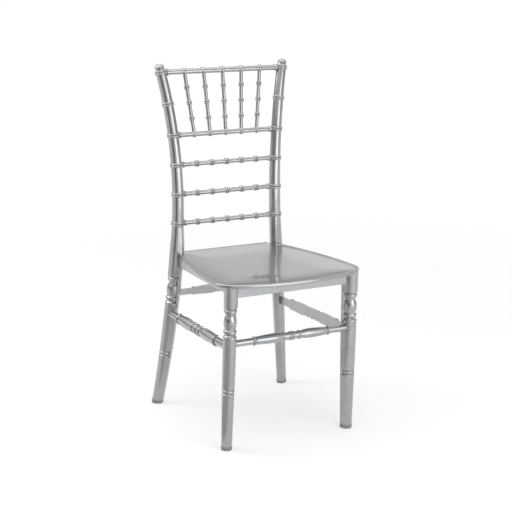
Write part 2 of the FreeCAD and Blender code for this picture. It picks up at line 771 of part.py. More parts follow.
BACKWARD = Vector(0, 1, 0)
front_run = stretcher_run(front_axis, mm.front_stretcher_height,
                          front_axis, mm.front_stretcher_height, True)
back_run = stretcher_run(rear_axis, mm.back_stretcher_height,
                         rear_axis, mm.back_stretcher_height, True)
side_run = stretcher_run(front_axis, mm.side_stretcher_front,
                         rear_axis, mm.side_stretcher_rear)
make_stretcher("stretcher_front", *front_run, BACKWARD)
make_stretcher("stretcher_back", *back_run, BACKWARD * -1)
make_stretcher("stretcher_right", *side_run, ACROSS * -1)
make_stretcher("stretcher_left", mirror_point(side_run[0]), mirror_point(side_run[1]), ACROSS)


# Seat: a dished shell with a rolled rim, on a plane that falls to the back
seat_place = Placement(Vector(0, 0, mm.rim_height), Rotation(ACROSS, -mm.seat_slope))
seat_edge = -mm.seat_edge_drop


def on_seat(point):
    """A point of the chair in the seat's own frame, whose Z = 0 is the top of the rim."""
    return seat_place.inverse().multVec(point)


# How many straight steps each stretch of the seat's outline is drawn with
SIDE_STEPS = 3
CORNER_STEPS = 3
FRONT_STEPS = 8
BACK_STEPS = 2


def seat_ring(inset, back_inset, corner, back_corner, drop, back_drop):
    """The seat's outline drawn in by an inset: bowed front, tapering sides, straight back.

    It lies at a drop under the rim, and its back part at a drop of its own."""
    front = Vector(mm.seat_front_half_width, -mm.seat_front_corner, 0)
    rear = Vector(mm.seat_back_half_width, mm.seam_back - mm.leg_head_radius, 0)
    along = (rear - front).normalize()
    normal = along.cross(UP)
    bow_centre = Vector(0, mm.seat_front_arc - mm.seat_front, 0)
    bow = mm.seat_front_arc - inset
    base = front - normal * (inset + corner) - bow_centre
    part = base.dot(along)
    centre = bow_centre + base - along * (
        part + math.sqrt(part ** 2 - base.Length ** 2 + (bow - corner) ** 2))
    on_bow = centre + (centre - bow_centre).normalize() * corner
    on_side = centre + normal * corner
    half_turn = (normal + (centre - bow_centre).normalize()).normalize()
    back = mm.seat_back - back_inset
    back_centre = front - normal * (inset + back_corner)
    back_centre = back_centre + along * ((back - back_corner - back_centre.y) / along.y)
    side_end = back_centre + normal * back_corner
    back_turn = back_centre + (normal + Vector(0, 1, 0)).normalize() * back_corner
    back_end = back_centre + Vector(0, back_corner, 0)
    right_side = [
        (Part.Arc(Vector(0, bow_centre.y - bow, 0), half_way_round(bow_centre, bow, on_bow),
                  on_bow), FRONT_STEPS // 2),
        (Part.Arc(on_bow, centre + half_turn * corner, on_side), CORNER_STEPS),
        (Part.LineSegment(on_side, side_end), SIDE_STEPS),
        (Part.Arc(side_end, back_turn, back_end), BACK_STEPS),
        (Part.LineSegment(back_end, Vector(0, back, 0)), BACK_STEPS // 2),
    ]
    half = []
    for curve, steps in right_side:
        edge = curve.toShape()
        start, end = edge.ParameterRange
        half += [edge.valueAt(start + (end - start) * step / steps) for step in range(steps)]
    half.append(Vector(0, back, 0))
    for spot in half:
        spot.z = -back_drop if spot.y > side_end.y + mm.fit else -drop
    return half + [Vector(-spot.x, spot.y, spot.z) for spot in reversed(half[1:-1])]


def half_way_round(centre, radius, end):
    """Middle of the arc from straight in front of a centre to its end."""
    towards = (Vector(0, -1, 0) + (end - centre).normalize()).normalize()
    return centre + towards * radius


# The dish in steps from the rim, as (inset from the rim, depth)
shoulder_rise = mm.dish_depth - mm.dish_shoulder_depth
DISH_CURVE = (
    (mm.dish_shoulder / 2, mm.dish_shoulder_depth * 0.56),
    (mm.dish_shoulder, mm.dish_shoulder_depth),
    ((mm.dish_shoulder + mm.dish_floor) / 2, mm.dish_depth - shoulder_rise * 0.3),
    (mm.dish_floor, mm.dish_depth),
)
# Turns round the rolled rim: from the dish over its top, and on to the underside
RIM_TOP = (40, 80, 120)
RIM_UNDER = (160, 200, 250, 310)


def dish_rings(lowered):
    """The dish from its rim to its floor, lowered by a distance."""
    corner = mm.dish_corner_radius
    rings = []
    for inset, depth in DISH_CURVE:
        drop = mm.seat_edge_drop + depth + lowered
        rings.append(seat_ring(inset, inset, corner, corner, drop, drop))
    return rings


def rim_rings(turns, extra):
    """The rolled rim along the sides and front, and the plain rounded edge behind."""
    rings = []
    for degrees in turns:
        turn = math.radians(degrees)
        radius = mm.bead_radius + extra
        half = mm.seat_wall / 2
        wall = half + extra
        inset = mm.bead_radius + radius * math.cos(turn)
        rings.append(seat_ring(
            inset, half + wall * math.cos(turn), mm.seat_corner_radius - inset,
            mm.bead_radius, mm.bead_radius - radius * math.sin(turn),
            mm.seat_edge_drop + half - wall * math.sin(turn)))
    return rings


def over_dish(lowered):
    """Everything above the dish, or above a surface lowered from it."""
    inset = DISH_CURVE[0][0]
    corner = mm.dish_corner_radius
    return faceted([seat_ring(inset, inset, corner, corner, 0, 0)] + dish_rings(lowered))


def over_seat():
    """Everything above the seat's underside, with clearance, for what stands under it."""
    fit = mm.seat_fit
    aloft = -mm.bolt_drop
    top = seat_ring(-fit, -fit, mm.seat_corner_radius + fit, mm.bead_radius, aloft, aloft)
    tool = faceted([top] + rim_rings(RIM_UNDER, fit) + dish_rings(mm.seat_wall + fit))
    tool.Placement = seat_place
    return tool


# Corners: what each leg shares with the aprons, its bracket, its bolt and its screw
class Corner:
    def __init__(self, axis, outward, stations, lower_by):
        self.axis = axis
        self.outward = outward
        self.stations = stations
        self.lower_by = lower_by
        height = mm.rim_height - mm.bolt_drop
        share = (height - stations[-2][0]) / (stations[-1][0] - stations[-2][0])
        self.depth = stations[-2][2] + (stations[-1][2] - stations[-2][2]) * share
        self.spot = on_seat(axis.at_height(height)[0])
        self.spot.z = 0
        self.along = Vector(1, -outward.y / abs(outward.y), 0).normalize()

    def place(self, depth, offset, drop):
        """Place in the seat's frame: inward of the leg axis, along the bracket, down."""
        place = self.spot - self.outward * depth - self.along * offset
        return Vector(place.x, place.y, -drop)

    def ring(self, height, direction):
        """The leg's section at a height, square to a direction."""
        radius, depth = section_at(self.stations, height)
        return d_ring(self.axis.at_height(height)[0], direction, self.outward, radius, depth)

    def blank(self, extra):
        return d_bar(self.axis, self.outward, self.stations, extra)


front_corner = Corner(front_axis, FRONT_OUTWARD, front_stations, 0)
rear_corner = Corner(rear_axis, REAR_OUTWARD, rear_stations, mm.rear_relief_drop)


def slab(start, stop, near, far, low, high):
    """Upright slab along a line in plan, from near to far on the line's left."""
    along = (stop - start).normalize()
    side = UP.cross(along)
    plan = [start + side * near, stop + side * near, stop + side * far, start + side * far]
    corners = [Vector(spot.x, spot.y, low) for spot in plan]
    face = Part.Face(Part.makePolygon(corners + corners[:1]))
    return face.extrude(Vector(0, 0, high - low))


# Each apron: outer face as a line in plan with the chair on its left, and its drop
front_spot = front_corner.spot
rear_spot = rear_corner.spot
APRON_LINES = {
    "apron_front": (Vector(-front_spot.x, -mm.front_apron_front, 0),
                    Vector(front_spot.x, -mm.front_apron_front, 0), mm.front_apron_drop),
    "apron_right": (Vector(mm.side_apron_front_spread, front_spot.y, 0),
                    Vector(mm.side_apron_rear_spread, rear_spot.y, 0), mm.apron_drop),
    "apron_back": (Vector(rear_spot.x, mm.back_apron_back, 0),
                   Vector(-rear_spot.x, mm.back_apron_back, 0), mm.apron_drop),
}


def tenons(name, extra):
    """The tongue that runs through an apron and out into both legs."""
    start, stop, drop = APRON_LINES[name]
    along = (stop - start).normalize()
    middle = mm.apron_thickness / 2
    half = mm.tenon_thickness / 2 + extra
    rise = mm.tenon_height / 2 + extra
    end = along * (mm.tenon_end_gap - extra)
    tongue = slab(start + end, stop - end, middle - half, middle + half,
                  -mm.tenon_drop - rise, -mm.tenon_drop + rise)
    tongue.Placement = seat_place
    return tongue


seat_clearance = over_seat()


def make_apron(name, leg_clearances):
    start, stop, drop = APRON_LINES[name]
    plate = slab(start, stop, 0, mm.apron_thickness, -drop, 0)
    plate.Placement = seat_place
    plate = plate.cut(leg_clearances).fuse(tenons(name, 0))
    return plate.cut(seat_clearance).removeSplitter()


# Corner brackets lie against the legs' inner flats and between the aprons
def leg_bolt_run(corner):
    """Where a leg bolt's head rests, and the bolt's end in the leg, on the chair."""
    seat = corner.place(corner.depth + mm.bracket_thickness, 0, mm.bolt_drop)
    end = corner.place(corner.depth - mm.bolt_in_leg, 0, mm.bolt_drop)
    return seat_place.multVec(seat), seat_place.multVec(end)


def seat_screw_run(corner):
    """Where a seat screw's head rests under the bracket, and the screw's end."""
    depth = corner.depth + mm.seat_screw_inset
    foot = mm.bracket_drop + mm.bracket_height
    tip = mm.bracket_drop - mm.seat_fit - mm.seat_screw_grip
    offset = mm.seat_screw_offset
    return (seat_place.multVec(corner.place(depth, offset, foot)),
            seat_place.multVec(corner.place(depth, offset, tip)))


def hole(start, stop, radius):
    """A drilled hole, from clear of its mouth to just past the end of what it takes."""
    along = (stop - start).normalize()
    return round_peg(start - along * radius, along, radius + mm.fit,
                     (stop - start).Length + radius + mm.fit)


def make_bracket(corner, apron_names):
    near = corner.depth + mm.fit
    far = corner.depth + mm.bracket_thickness
    reach = 4 * mm.bracket_thickness
    low = -mm.bracket_drop - mm.bracket_height
    across = UP.cross(corner.outward) * reach
    block = slab(corner.spot - across, corner.spot + across, near, far,
                 low, -mm.bracket_drop)
    for name in apron_names:
        start, stop, drop = APRON_LINES[name]
        along = (stop - start).normalize() * reach
        block = block.cut(slab(start - along, stop + along, -reach,
                               mm.apron_thickness + mm.fit, -2 * drop, 0))
    block.Placement = seat_place
    holes = [hole(*leg_bolt_run(corner), mm.bolt_radius),
             hole(*seat_screw_run(corner), mm.seat_screw_radius)]
    return block.cut([corner.blank(mm.fit)] + holes)


# Legs: D bars with their outer side turned, bored for what plugs into them
def spigot_run(axis):
    """Start and direction of the glide's spigot."""
    return axis.at_height(mm.glide_height)


PLAIN_SPAN = 12


def leg_bar(corner, last_ring):
    """The D bar of a leg with its turned work, square to the floor over its glide."""
    def ring(height, direction=None, turned=None):
        point, along = corner.axis.at_height(height)
        radius, depth = section_at(corner.stations, height)
        return d_ring(point, direction or along, corner.outward, radius, depth, turned)

    rows = turned_work(corner.lower_by)
    for height, radius, depth in corner.stations[1:-1]:
        if min(abs(height - row[0]) for row in rows) > PLAIN_SPAN:
            rows.append((height, 0))
    rings = [ring(mm.glide_height, UP)]
    rings += [ring(height, turned=radius) for height, radius in sorted(rows)]
    return faceted(rings + [last_ring])


def make_leg(corner, last_ring, apron_names, sockets):
    point, direction = spigot_run(corner.axis)
    tools = [round_peg(point - direction * mm.glide_spigot_length, direction,
                       mm.glide_spigot_radius + mm.fit, 2 * mm.glide_spigot_length + mm.fit)]
    tools += [tenons(name, mm.fit) for name in apron_names]
    tools.append(hole(*leg_bolt_run(corner), mm.bolt_radius))
    return leg_bar(corner, last_ring).cut(tools + sockets)


def make_glide(corner):
    rings = []
    for height, drawn_in in ((0, mm.glide_round), (mm.glide_round, 0), (mm.glide_height, 0)):
        radius, depth = section_at(corner.stations, height)
        grown = mm.glide_flare - drawn_in
        rings.append(d_ring(corner.axis.at_height(height)[0], UP, corner.outward,
                            radius + grown, depth + grown))
    point, direction = spigot_run(corner.axis)
    spigot = round_peg(point - direction * (mm.glide_height / 2), direction,
                       mm.glide_spigot_radius, mm.glide_height / 2 + mm.glide_spigot_length)
    return faceted(rings).fuse(spigot)


SOCKET_REACH = 3 * mm.leg_head_radius


def socket(run, inward, at_stop=False):
    start, stop = (run[1], run[0]) if at_stop else run
    return half_round(start, stop, inward, mm.fit, SOCKET_REACH)


front_head = front_corner.ring(front_head_height, front_axis.along)
front_leg = make_leg(front_corner, front_head, ("apron_front", "apron_right"),
                     [socket(front_run, BACKWARD, True), socket(side_run, ACROSS * -1)])
both_sides("front_leg", front_leg.cut(seat_clearance))

# The rear leg ends square to the post, which plugs onto a spigot there
post_foot, post_rise = post_axis.at_height(seam_height)
rear_leg = make_leg(rear_corner, rear_corner.ring(seam_height, post_rise),
                    ("apron_right", "apron_back"),
                    [socket(back_run, BACKWARD * -1, True),
                     socket(side_run, ACROSS * -1, True)])
rear_leg = rear_leg.fuse(round_peg(post_foot - post_rise * mm.post_spigot_radius, post_rise,
                                   mm.post_spigot_radius,
                                   mm.post_spigot_radius + mm.post_spigot_length))
both_sides("rear_leg", rear_leg)
both_sides("glide_front", make_glide(front_corner))
both_sides("glide_rear", make_glide(rear_corner))

front_clearance = front_corner.blank(mm.fit)
rear_clearance = rear_corner.blank(mm.fit)
slot_clearance = rear_corner.blank(mm.apron_rear_gap)
feature("apron_front", make_apron("apron_front", [front_clearance, mirrored(front_clearance)]))
feature("apron_back", make_apron("apron_back", [rear_clearance, mirrored(rear_clearance)]))
bolt_clearance = hole(*leg_bolt_run(front_corner), mm.bolt_radius)
both_sides("apron", make_apron("apron_right",
                               [front_clearance, slot_clearance, bolt_clearance]))
both_sides("bracket_front", make_bracket(front_corner, ("apron_front", "apron_right")))
both_sides("bracket_rear", make_bracket(rear_corner, ("apron_right", "apron_back")))


def make_seat():
    underside = rim_rings(RIM_UNDER, 0) + dish_rings(mm.seat_wall)
    shell = faceted(list(reversed(dish_rings(0))) + rim_rings(RIM_TOP, 0) + underside)
    bosses = []
    holes = []
    for corner in (front_corner, rear_corner):
        depth = corner.depth + mm.seat_screw_inset
        foot = corner.place(depth, mm.seat_screw_offset, mm.bracket_drop - mm.seat_fit)
        boss = round_peg(foot, UP, mm.seat_boss_radius, seat_edge - foot.z)
        boss = boss.cut(over_dish(mm.seat_wall / 2))
        bosses += [boss, mirrored(boss)]
        foot, tip = [on_seat(end) for end in seat_screw_run(corner)]
        drilled = hole(foot, tip, mm.seat_screw_radius)
        holes += [drilled, mirrored(drilled)]
    wide = 2 * mm.seat_back
    aside = Part.makeBox(wide, wide, wide,
                         Vector(mm.seat_tail_half_width, mm.seam_back, -mm.seat_back))
    shell = shell.fuse(bosses).cut([aside, mirrored(aside)] + holes)
    shell.Placement = seat_place
    top = seam_height + mm.leg_head_radius
    notch = d_bar(rear_axis, REAR_OUTWARD, rear_stations + [
        (top, mm.leg_head_radius, mm.rear_head_depth)], mm.seat_fit)
    post_notch = d_bar(post_axis, REAR_OUTWARD, [
        (seam_height, mm.leg_head_radius, mm.rear_head_depth),
        (flare_top, mm.leg_head_radius, mm.rear_head_depth),
    ], mm.seat_fit)
    return shell.cut([notch, mirrored(notch), post_notch, mirrored(post_notch)])


feature("seat_shell", make_seat())


# Fasteners: a head on a plain shank
def make_fastener(name, start, stop, radius, head_radius, head_height, head_sides):
    length = as_length((stop - start).Length)
    head = prism(name + "_head", head_radius, head_height, head_height * -1, head_sides)
    body = joined(name, [prism(name + "_shank", radius, length, ZERO), head])
    body.Placement = Placement(start, Rotation(UP, stop - start))
    return body


def fastener_group(name, runs, *sizes):
    """The same fastener at both front and both rear corners."""
    group = doc.addObject("Part::Compound", name)
    links = []
    for start, stop in runs:
        for side, ends in (("right", (start, stop)),
                           ("left", (mirror_point(start), mirror_point(stop)))):
            links.append(make_fastener("%s_%d_%s" % (name, len(links), side), *ends, *sizes))
    group.Links = links
    return finish(name, group)


HEX_SIDES = 6
fastener_group("leg_bolts", [leg_bolt_run(front_corner), leg_bolt_run(rear_corner)],
               size.bolt_radius, size.bolt_head_radius, size.bolt_head_height, HEX_SIDES)
fastener_group("seat_screws", [seat_screw_run(front_corner), seat_screw_run(rear_corner)],
               size.seat_screw_radius, size.seat_screw_head_radius,
               size.seat_screw_head_height, ROD_SIDES)
doc.recompute()


# Nothing is written unless every object is sound
for item in doc.Objects:
    if "Invalid" in item.State or "Error" in item.State:
        raise RuntimeError("%s did not build: %s" % (item.Label, item.State))
for name, piece in pieces.items():
    if piece.Shape.isNull() or not piece.Shape.isValid():
        raise RuntimeError("%s has no sound shape" % name)

os.makedirs("parts", exist_ok=True)
for name, piece in pieces.items():
    piece.Shape.exportStep("parts/%s.step" % name)
print("%d pieces written" % len(pieces))
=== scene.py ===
import bmesh
import bpy
from collections import namedtuple
from math import (acos, asin, atan2, copysign, cos, hypot, inf, pi,
                  radians, sin, sqrt, tan)
from mathutils import Matrix, Vector


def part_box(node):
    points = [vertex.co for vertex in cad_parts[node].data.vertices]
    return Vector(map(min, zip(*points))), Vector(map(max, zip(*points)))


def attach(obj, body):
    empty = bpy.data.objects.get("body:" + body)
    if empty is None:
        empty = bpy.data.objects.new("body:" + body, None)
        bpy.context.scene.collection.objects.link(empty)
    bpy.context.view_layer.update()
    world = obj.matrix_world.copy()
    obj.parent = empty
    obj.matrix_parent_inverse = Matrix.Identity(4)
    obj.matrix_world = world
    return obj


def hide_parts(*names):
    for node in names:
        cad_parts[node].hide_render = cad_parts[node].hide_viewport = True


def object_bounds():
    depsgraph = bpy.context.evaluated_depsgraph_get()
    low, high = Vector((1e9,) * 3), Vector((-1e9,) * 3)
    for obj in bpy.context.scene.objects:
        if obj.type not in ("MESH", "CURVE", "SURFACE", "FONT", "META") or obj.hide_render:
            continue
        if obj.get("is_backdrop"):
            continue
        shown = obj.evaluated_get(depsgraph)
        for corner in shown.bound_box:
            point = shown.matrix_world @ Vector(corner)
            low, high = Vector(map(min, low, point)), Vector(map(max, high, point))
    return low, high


bl_info = {
    "name": "Silver chiavari chair",
    "version": (1, 0, 0),
    "blender": (4, 5, 0),
    "location": "View3D > Sidebar > Chair",
    "description": "Moulded silver chiavari chair with turned legs and a fanned spindle back",
    "category": "Add Mesh",
}

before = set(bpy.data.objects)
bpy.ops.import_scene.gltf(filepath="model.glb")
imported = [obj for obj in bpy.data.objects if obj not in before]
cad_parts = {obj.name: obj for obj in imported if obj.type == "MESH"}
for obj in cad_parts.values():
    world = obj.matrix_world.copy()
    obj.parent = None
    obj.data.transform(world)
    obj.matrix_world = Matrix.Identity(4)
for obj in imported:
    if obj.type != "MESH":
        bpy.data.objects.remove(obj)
CAD_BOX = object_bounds()
MM = 0.001


def length(millimetres, meaning):
    """A size in metres, given here in millimetres."""
    return bpy.props.FloatProperty(
        description=meaning, default=millimetres * MM, unit="LENGTH")


def angle(degrees, meaning):
    return bpy.props.FloatProperty(
        description=meaning, default=radians(degrees), subtype="ANGLE")


def plain_number(value, meaning):
    return bpy.props.FloatProperty(description=meaning, default=value)


def linear(hex_colour):
    """Turn an sRGB hex colour such as 8C8E91 into linear light."""
    channels = []
    for start in (0, 2, 4):
        value = int(hex_colour[start:start + 2], 16) / 255
        channels.append(value / 12.92 if value <= 0.04045 else ((value + 0.055) / 1.055) ** 2.4)
    return channels


def colour(value, meaning):
    return bpy.props.FloatVectorProperty(
        description=meaning, default=linear(value), subtype="COLOR", size=3, min=0, max=1)


class BackSizes(bpy.types.PropertyGroup):
    seam_height: length(424.4, "Floor to the seam under a post")
    seam_spread: length(150.3, "Middle to the post at its seam")
    seam_back: length(185.1, "Origin back to the post at its seam")
    crown_height: length(896.5, "Floor to the top rail")
    crown_spread: length(177.1, "Middle to the post at the top rail")
    crown_back: length(217.7, "Origin back to the post at the top rail")
    post_bow: length(20.6, "Rise of the post's curve")
    post_bow_turn: angle(34.3, "Way that the curve faces")
    post_top_radius: length(13.3, "Post at the top rail")
    post_seam_radius: length(16.5, "Post at the seam")
    post_stub: length(5.5, "Post above the top rail")
    flare_height: length(66, "Where the post starts to widen inward")
    ring_width: length(11.5, "Double ring on a post")
    ring_rise: length(2.5, "Double ring beyond the post")
    middle_ring: length(815.5, "Floor to the ring between the upper rails")
    knot_width: length(12, "Double knot of a cross rail")
    knot_rise: length(3.1, "Knot beyond its rail")
    knot_pitch: length(43.7, "Step between the knots")
    collar_width: length(9, "Collar where a spindle meets a rail")
    collar_rise: length(2.6, "Collar beyond its rail")
    end_collar_width: length(6, "Collar beside a post")
    top_rail_radius: length(7.2, "Top rail")
    spindle_rail_radius: length(6.5, "Rail under the spindles")
    cross_rail_radius: length(5.9, "The three lower rails")
    spindle_radius: length(4.9, "Spindle")
    spindle_knot_width: length(11, "Double knot of a spindle")
    spindle_knot_rise: length(2.9, "Knot beyond its spindle")
    pitch_top: length(55.3, "Step between spindles above")
    pitch_low: length(45.9, "Step between spindles below")
    finial_height: length(16.8, "Finial over the post")
    finial_radius: length(12.8, "Ball of the finial")
    finial_neck: length(11.2, "Neck under the ball")


class LegSizes(bpy.types.PropertyGroup):
    front_head_spread: length(170, "Middle to a front leg at its head")
    front_head_front: length(180.2, "Origin to a front leg at its head")
    front_foot_spread: length(174.5, "Middle to a front foot")
    front_foot_front: length(169, "Origin to a front foot")
    rear_foot_spread: length(193.9, "Middle to a rear foot")
    rear_foot_back: length(219, "Origin to a rear foot")
    rear_bow: length(6.75, "Rise of a rear leg's curve")
    rear_bow_turn: angle(64.5, "Way that the curve faces")
    head_radius: length(17.4, "Leg under the seat")
    knee_radius: length(16.5, "Leg where it starts to taper")
    foot_radius: length(13.6, "Leg at the floor")
    knee_height: length(205, "Floor to where the leg starts to taper")
    front_head_depth: length(24.8, "Axis to the inner flat above, front")
    front_knee_depth: length(22, "Axis to the inner flat at the knee")
    rear_head_depth: length(21, "Axis to the inner flat above, rear")
    rear_knee_depth: length(20.2, "Axis to the inner flat at the knee")
    foot_depth: length(16.4, "Axis to the inner flat at the floor")
    flat_half: length(5, "Half the inner flat")
    flat_corner: length(4, "Rounded corner beside the flat")
    urn_height: length(331.8, "Floor to the widest part of the urn")
    ankle_height: length(155, "Floor to the bead near the foot")
    rear_drop: length(9, "Turned work lower on a rear leg")
    web_angle: angle(22.5, "Half of what the turning leaves plain")
    glide_height: length(11, "Foot glide")
    glide_flare: length(0.4, "Foot glide beyond the leg")
    glide_round: length(2.5, "Rounded edge of the foot glide")


class StretcherSizes(bpy.types.PropertyGroup):
    end_radius: length(8.6, "Plain end")
    ring_radius: length(12, "Ring near the end")
    bulb_radius: length(12.3, "Bulb")
    waist_radius: length(9.6, "Waist beside the rings")
    bead_radius: length(11.6, "Beads in the middle")
    side_share: plain_number(1.26, "Side stretchers' thickness, the front one being 1")
    front_height: length(275.2, "Floor to the front stretcher")
    back_height: length(312, "Floor to the back stretcher")
    side_front_height: length(266.5, "Floor to a side stretcher's front")
    side_rear_height: length(256.5, "Floor to a side stretcher's rear")
    ring_width: length(7, "Ring along the stretcher")
    bead_reach: length(26, "Middle to the outer edge of the beads")
    flat: length(3, "Axis to the flat inner face")
    set_in: length(8.8, "Leg axis to the end in its socket")
    ring_share: plain_number(0.305, "Middle to ring as a share of the leg spacing")


class SeatSizes(bpy.types.PropertyGroup):
    rim_height: length(426.5, "Floor to the top of the rim over the origin")
    slope: angle(1.05, "Fall of the seat to the back")
    front: length(234, "Origin to the front rim")
    back: length(206, "Origin to the back edge")
    tail_half: length(131, "Half the width between the posts")
    corner_half: length(202.6, "Half the width at the front corners")
    corner_front: length(180, "Origin to that widest place")
    rear_half: length(149.6, "Half the width at the posts")
    rear_place: length(167.7, "Origin back to where that width is")
    side_bow: length(14, "Bulge of the seat's sides")
    front_arc: length(465, "Radius of the bowed front")
    corner: length(70, "Front corner")
    bead: length(5, "Rolled rim")
    edge_drop: length(3, "Top of the rim down to the shell")
    wall: length(4, "Seat shell")
    dish_reach: length(110, "Rim to the floor of the dish")
    dish_depth: length(5, "Floor of the dish under its edge")
    dish_corner: length(40, "Corners of the dish")
    notch_back: length(185.1, "Origin to where the ears end at the posts")
    bolt_drop: length(24, "Rim down to the leg bolts")
    screw_inset: length(16, "Leg's flat to a seat screw")
    screw_offset: length(13, "Leg bolt to the seat screw")
    boss_radius: length(7, "Boss at a seat screw")
    boss_drop: length(16.7, "Rim down to the foot of a boss")
    gate_radius: length(2, "Moulding mark on the front rim")
    gate_aside: length(7, "Middle to the moulding mark")


class FinishSettings(bpy.types.PropertyGroup):
    silver: colour("A0A2A4", "Silver pigment in the plastic")
    glide: colour("97999B", "Grey foot glides")
    steel: colour("B9BBBD", "Zinc-plated fasteners")


class StageSettings(bpy.types.PropertyGroup):
    camera_place: bpy.props.FloatVectorProperty(
        description="Where the camera stands", size=3,
        default=(-1588.46 * MM, -2993.23 * MM, 1284.72 * MM), subtype="TRANSLATION",
        unit="LENGTH")
    azimuth: angle(-27.8287, "Way the camera faces, from straight back")
    elevation: angle(14, "Camera looks down")
    roll: angle(0.6618, "Camera leans")
    focal: plain_number(1355.03, "Focal length in pixels of a 512 pixel frame")


SETTINGS = {
    "chair_back": BackSizes,
    "chair_legs": LegSizes,
    "chair_stretchers": StretcherSizes,
    "chair_seat": SeatSizes,
    "chair_finish": FinishSettings,
    "chair_stage": StageSettings,
}
FRAME_PIXELS = 512
SENSOR = 36
TURNED_SIDES = 64
ROD_SIDES = 40
# Smaller than any real angle, in radians, or any real size
ANGLE_SLACK = 0.001
HAIR = 0.01 * MM


def new_object(name, data):
    thing = bpy.data.objects.new(name, data)
    bpy.context.scene.collection.objects.link(thing)
    return thing


# Materials
def add_node(tree, kind, settings=()):
    """Add a shader node and set its inputs and properties by name, a socket by a link."""
    node = tree.nodes.new("ShaderNode" + kind)
    for name, value in dict(settings).items():
        if isinstance(value, bpy.types.NodeSocket):
            tree.links.new(value, node.inputs[name])
        elif name in node.inputs:
            node.inputs[name].default_value = value
        else:
            setattr(node, name, value)
    return node


def new_material(name):
    material = bpy.data.materials.new(name)
    material.use_nodes = True
    material.node_tree.nodes.clear()
    return material, material.node_tree


def add_surface(tree, kind, settings):
    """The shader that gives the material its look, joined to the output."""
    shader = add_node(tree, kind, settings).outputs[0]
    add_node(tree, "OutputMaterial", {"Surface": shader})


def noise(tree, size, detail, **more):
    """Noise in the piece's own space, with features of about this size."""
    place = add_node(tree, "TexCoord").outputs["Object"]
    return add_node(tree, "TexNoise", {"Vector": place, "Scale": 1 / size, "Detail": detail,
                                       **more}).outputs["Fac"]


def tinted(tree, factor, base, *stops):
    """Lighter and darker shades of a colour, from two (place, share) stops."""
    ramp = add_node(tree, "ValToRGB", {"Fac": factor})
    for element, (place, share) in zip(ramp.color_ramp.elements, stops):
        element.position = place
        element.color = (*(min(channel * share, 1) for channel in base), 1)
    return ramp.outputs["Color"]


def spread(tree, value, low, high, start=0.0, stop=1.0, kind="LINEAR"):
    """Map a value between start and stop onto the range from low to high."""
    return add_node(tree, "MapRange",
                    {"Value": value, "From Min": start, "From Max": stop, "To Min": low,
                     "To Max": high, "interpolation_type": kind}).outputs["Result"]


def bumped(tree, height, strength, depth):
    return add_node(tree, "Bump", {"Height": height, "Strength": strength,
                                   "Distance": depth}).outputs["Normal"]


def moulded_silver(finish):
    """Polypropylene with aluminium flake, moulded in a polished tool.

    The flake gives a soft metal sheen with faint flow streaks, and the plastic's own
    skin gives a clear gloss on top."""
    material, tree = new_material("silver_flake_polypropylene")
    streaks = noise(tree, 22 * MM, 3, Roughness=0.55, Distortion=0.6)
    tint = tinted(tree, streaks, finish.silver, (0.3, 0.92), (0.7, 1.05))
    # Real flake is some 0.05 mm across; it is drawn coarser so that it shows
    flake = noise(tree, 0.9 * MM, 2)
    skin = noise(tree, 10 * MM, 2)
    add_surface(tree, "BsdfPrincipled",
                {"Base Color": tint, "Metallic": 0.9,
                 "Roughness": spread(tree, flake, 0.25, 0.34, 0.3, 0.7),
                 "Coat Weight": 1.0, "Coat Roughness": 0.02, "Coat IOR": 1.6,
                 "Normal": bumped(tree, skin, 0.1, 0.25 * MM)})
    return material


def moulded_glide(finish):
    """Grey polyethylene glide, moulded in a spark-eroded tool: a dull, finely pitted skin."""
    material, tree = new_material("grey_polyethylene_glide")
    pits = noise(tree, 0.8 * MM, 3)
    add_surface(tree, "BsdfPrincipled",
                {"Metallic": 0.25, "Roughness": 0.48, "IOR": 1.5,
                 "Base Color": tinted(tree, pits, finish.glide, (0.35, 0.86), (0.65, 1.04)),
                 "Normal": bumped(tree, pits, 0.5, 0.08 * MM)})
    return material


def zinc_steel(finish):
    """Zinc-plated steel: bright metal with a cloudy, slightly rough plating."""
    material, tree = new_material("zinc_plated_steel")
    clouds = noise(tree, 2.5 * MM, 4)
    add_surface(tree, "BsdfPrincipled",
                {"Metallic": 1.0,
                 "Base Color": tinted(tree, clouds, finish.steel, (0.3, 0.8), (0.7, 1.08)),
                 "Roughness": spread(tree, clouds, 0.25, 0.42)})
    return material


MATERIAL_MAKERS = {
    "silver_plastic": moulded_silver,
    "glide_plastic": moulded_glide,
    "steel": zinc_steel,
}
materials = {}


def material_for(slot):
    if slot not in materials:
        materials[slot] = MATERIAL_MAKERS[slot](bpy.context.scene.chair_finish)
    return materials[slot]


# Pieces
SMOOTH_ANGLE = radians(40)


def add_piece(node, bm, slot="silver_plastic"):
    """Make a bmesh a piece of the chair that is shown in place of its CAD node."""
    bmesh.ops.recalc_face_normals(bm, faces=bm.faces)
    mesh = bpy.data.meshes.new("shown_" + node)
    bm.to_mesh(mesh)
    bm.free()
    mesh.shade_smooth()
    mesh.set_sharp_from_angle(angle=SMOOTH_ANGLE)
    mesh.materials.append(material_for(slot))
    piece = new_object("shown_" + node, mesh)
    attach(piece, "root")
    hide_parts(node)
    return piece


def add_pair(name, make, slot="silver_plastic"):
    """The same piece on the right and, mirrored, on the left."""
    for side, mirror in (("right", 1), ("left", -1)):
        bm = make()
        bmesh.ops.scale(bm, vec=(mirror, 1, 1), verts=bm.verts)
        add_piece("%s_%s" % (name, side), bm, slot)


class BuildStep:
    """What all the operators share."""

    def execute(self, context):
        self.build(context.scene)
        return {"FINISHED"}


# Half profiles, as (place along the piece, radius) in rising order
def swell(low, low_radius, high, high_radius, bulge, steps=10):
    """A line from low to high that bulges outward, or inward for a cove."""
    points = []
    for step in range(steps + 1):
        share = step / steps
        rise = bulge * (1 - (2 * share - 1) ** 2)
        points.append((low + (high - low) * share,
                       low_radius + (high_radius - low_radius) * share + rise))
    return points


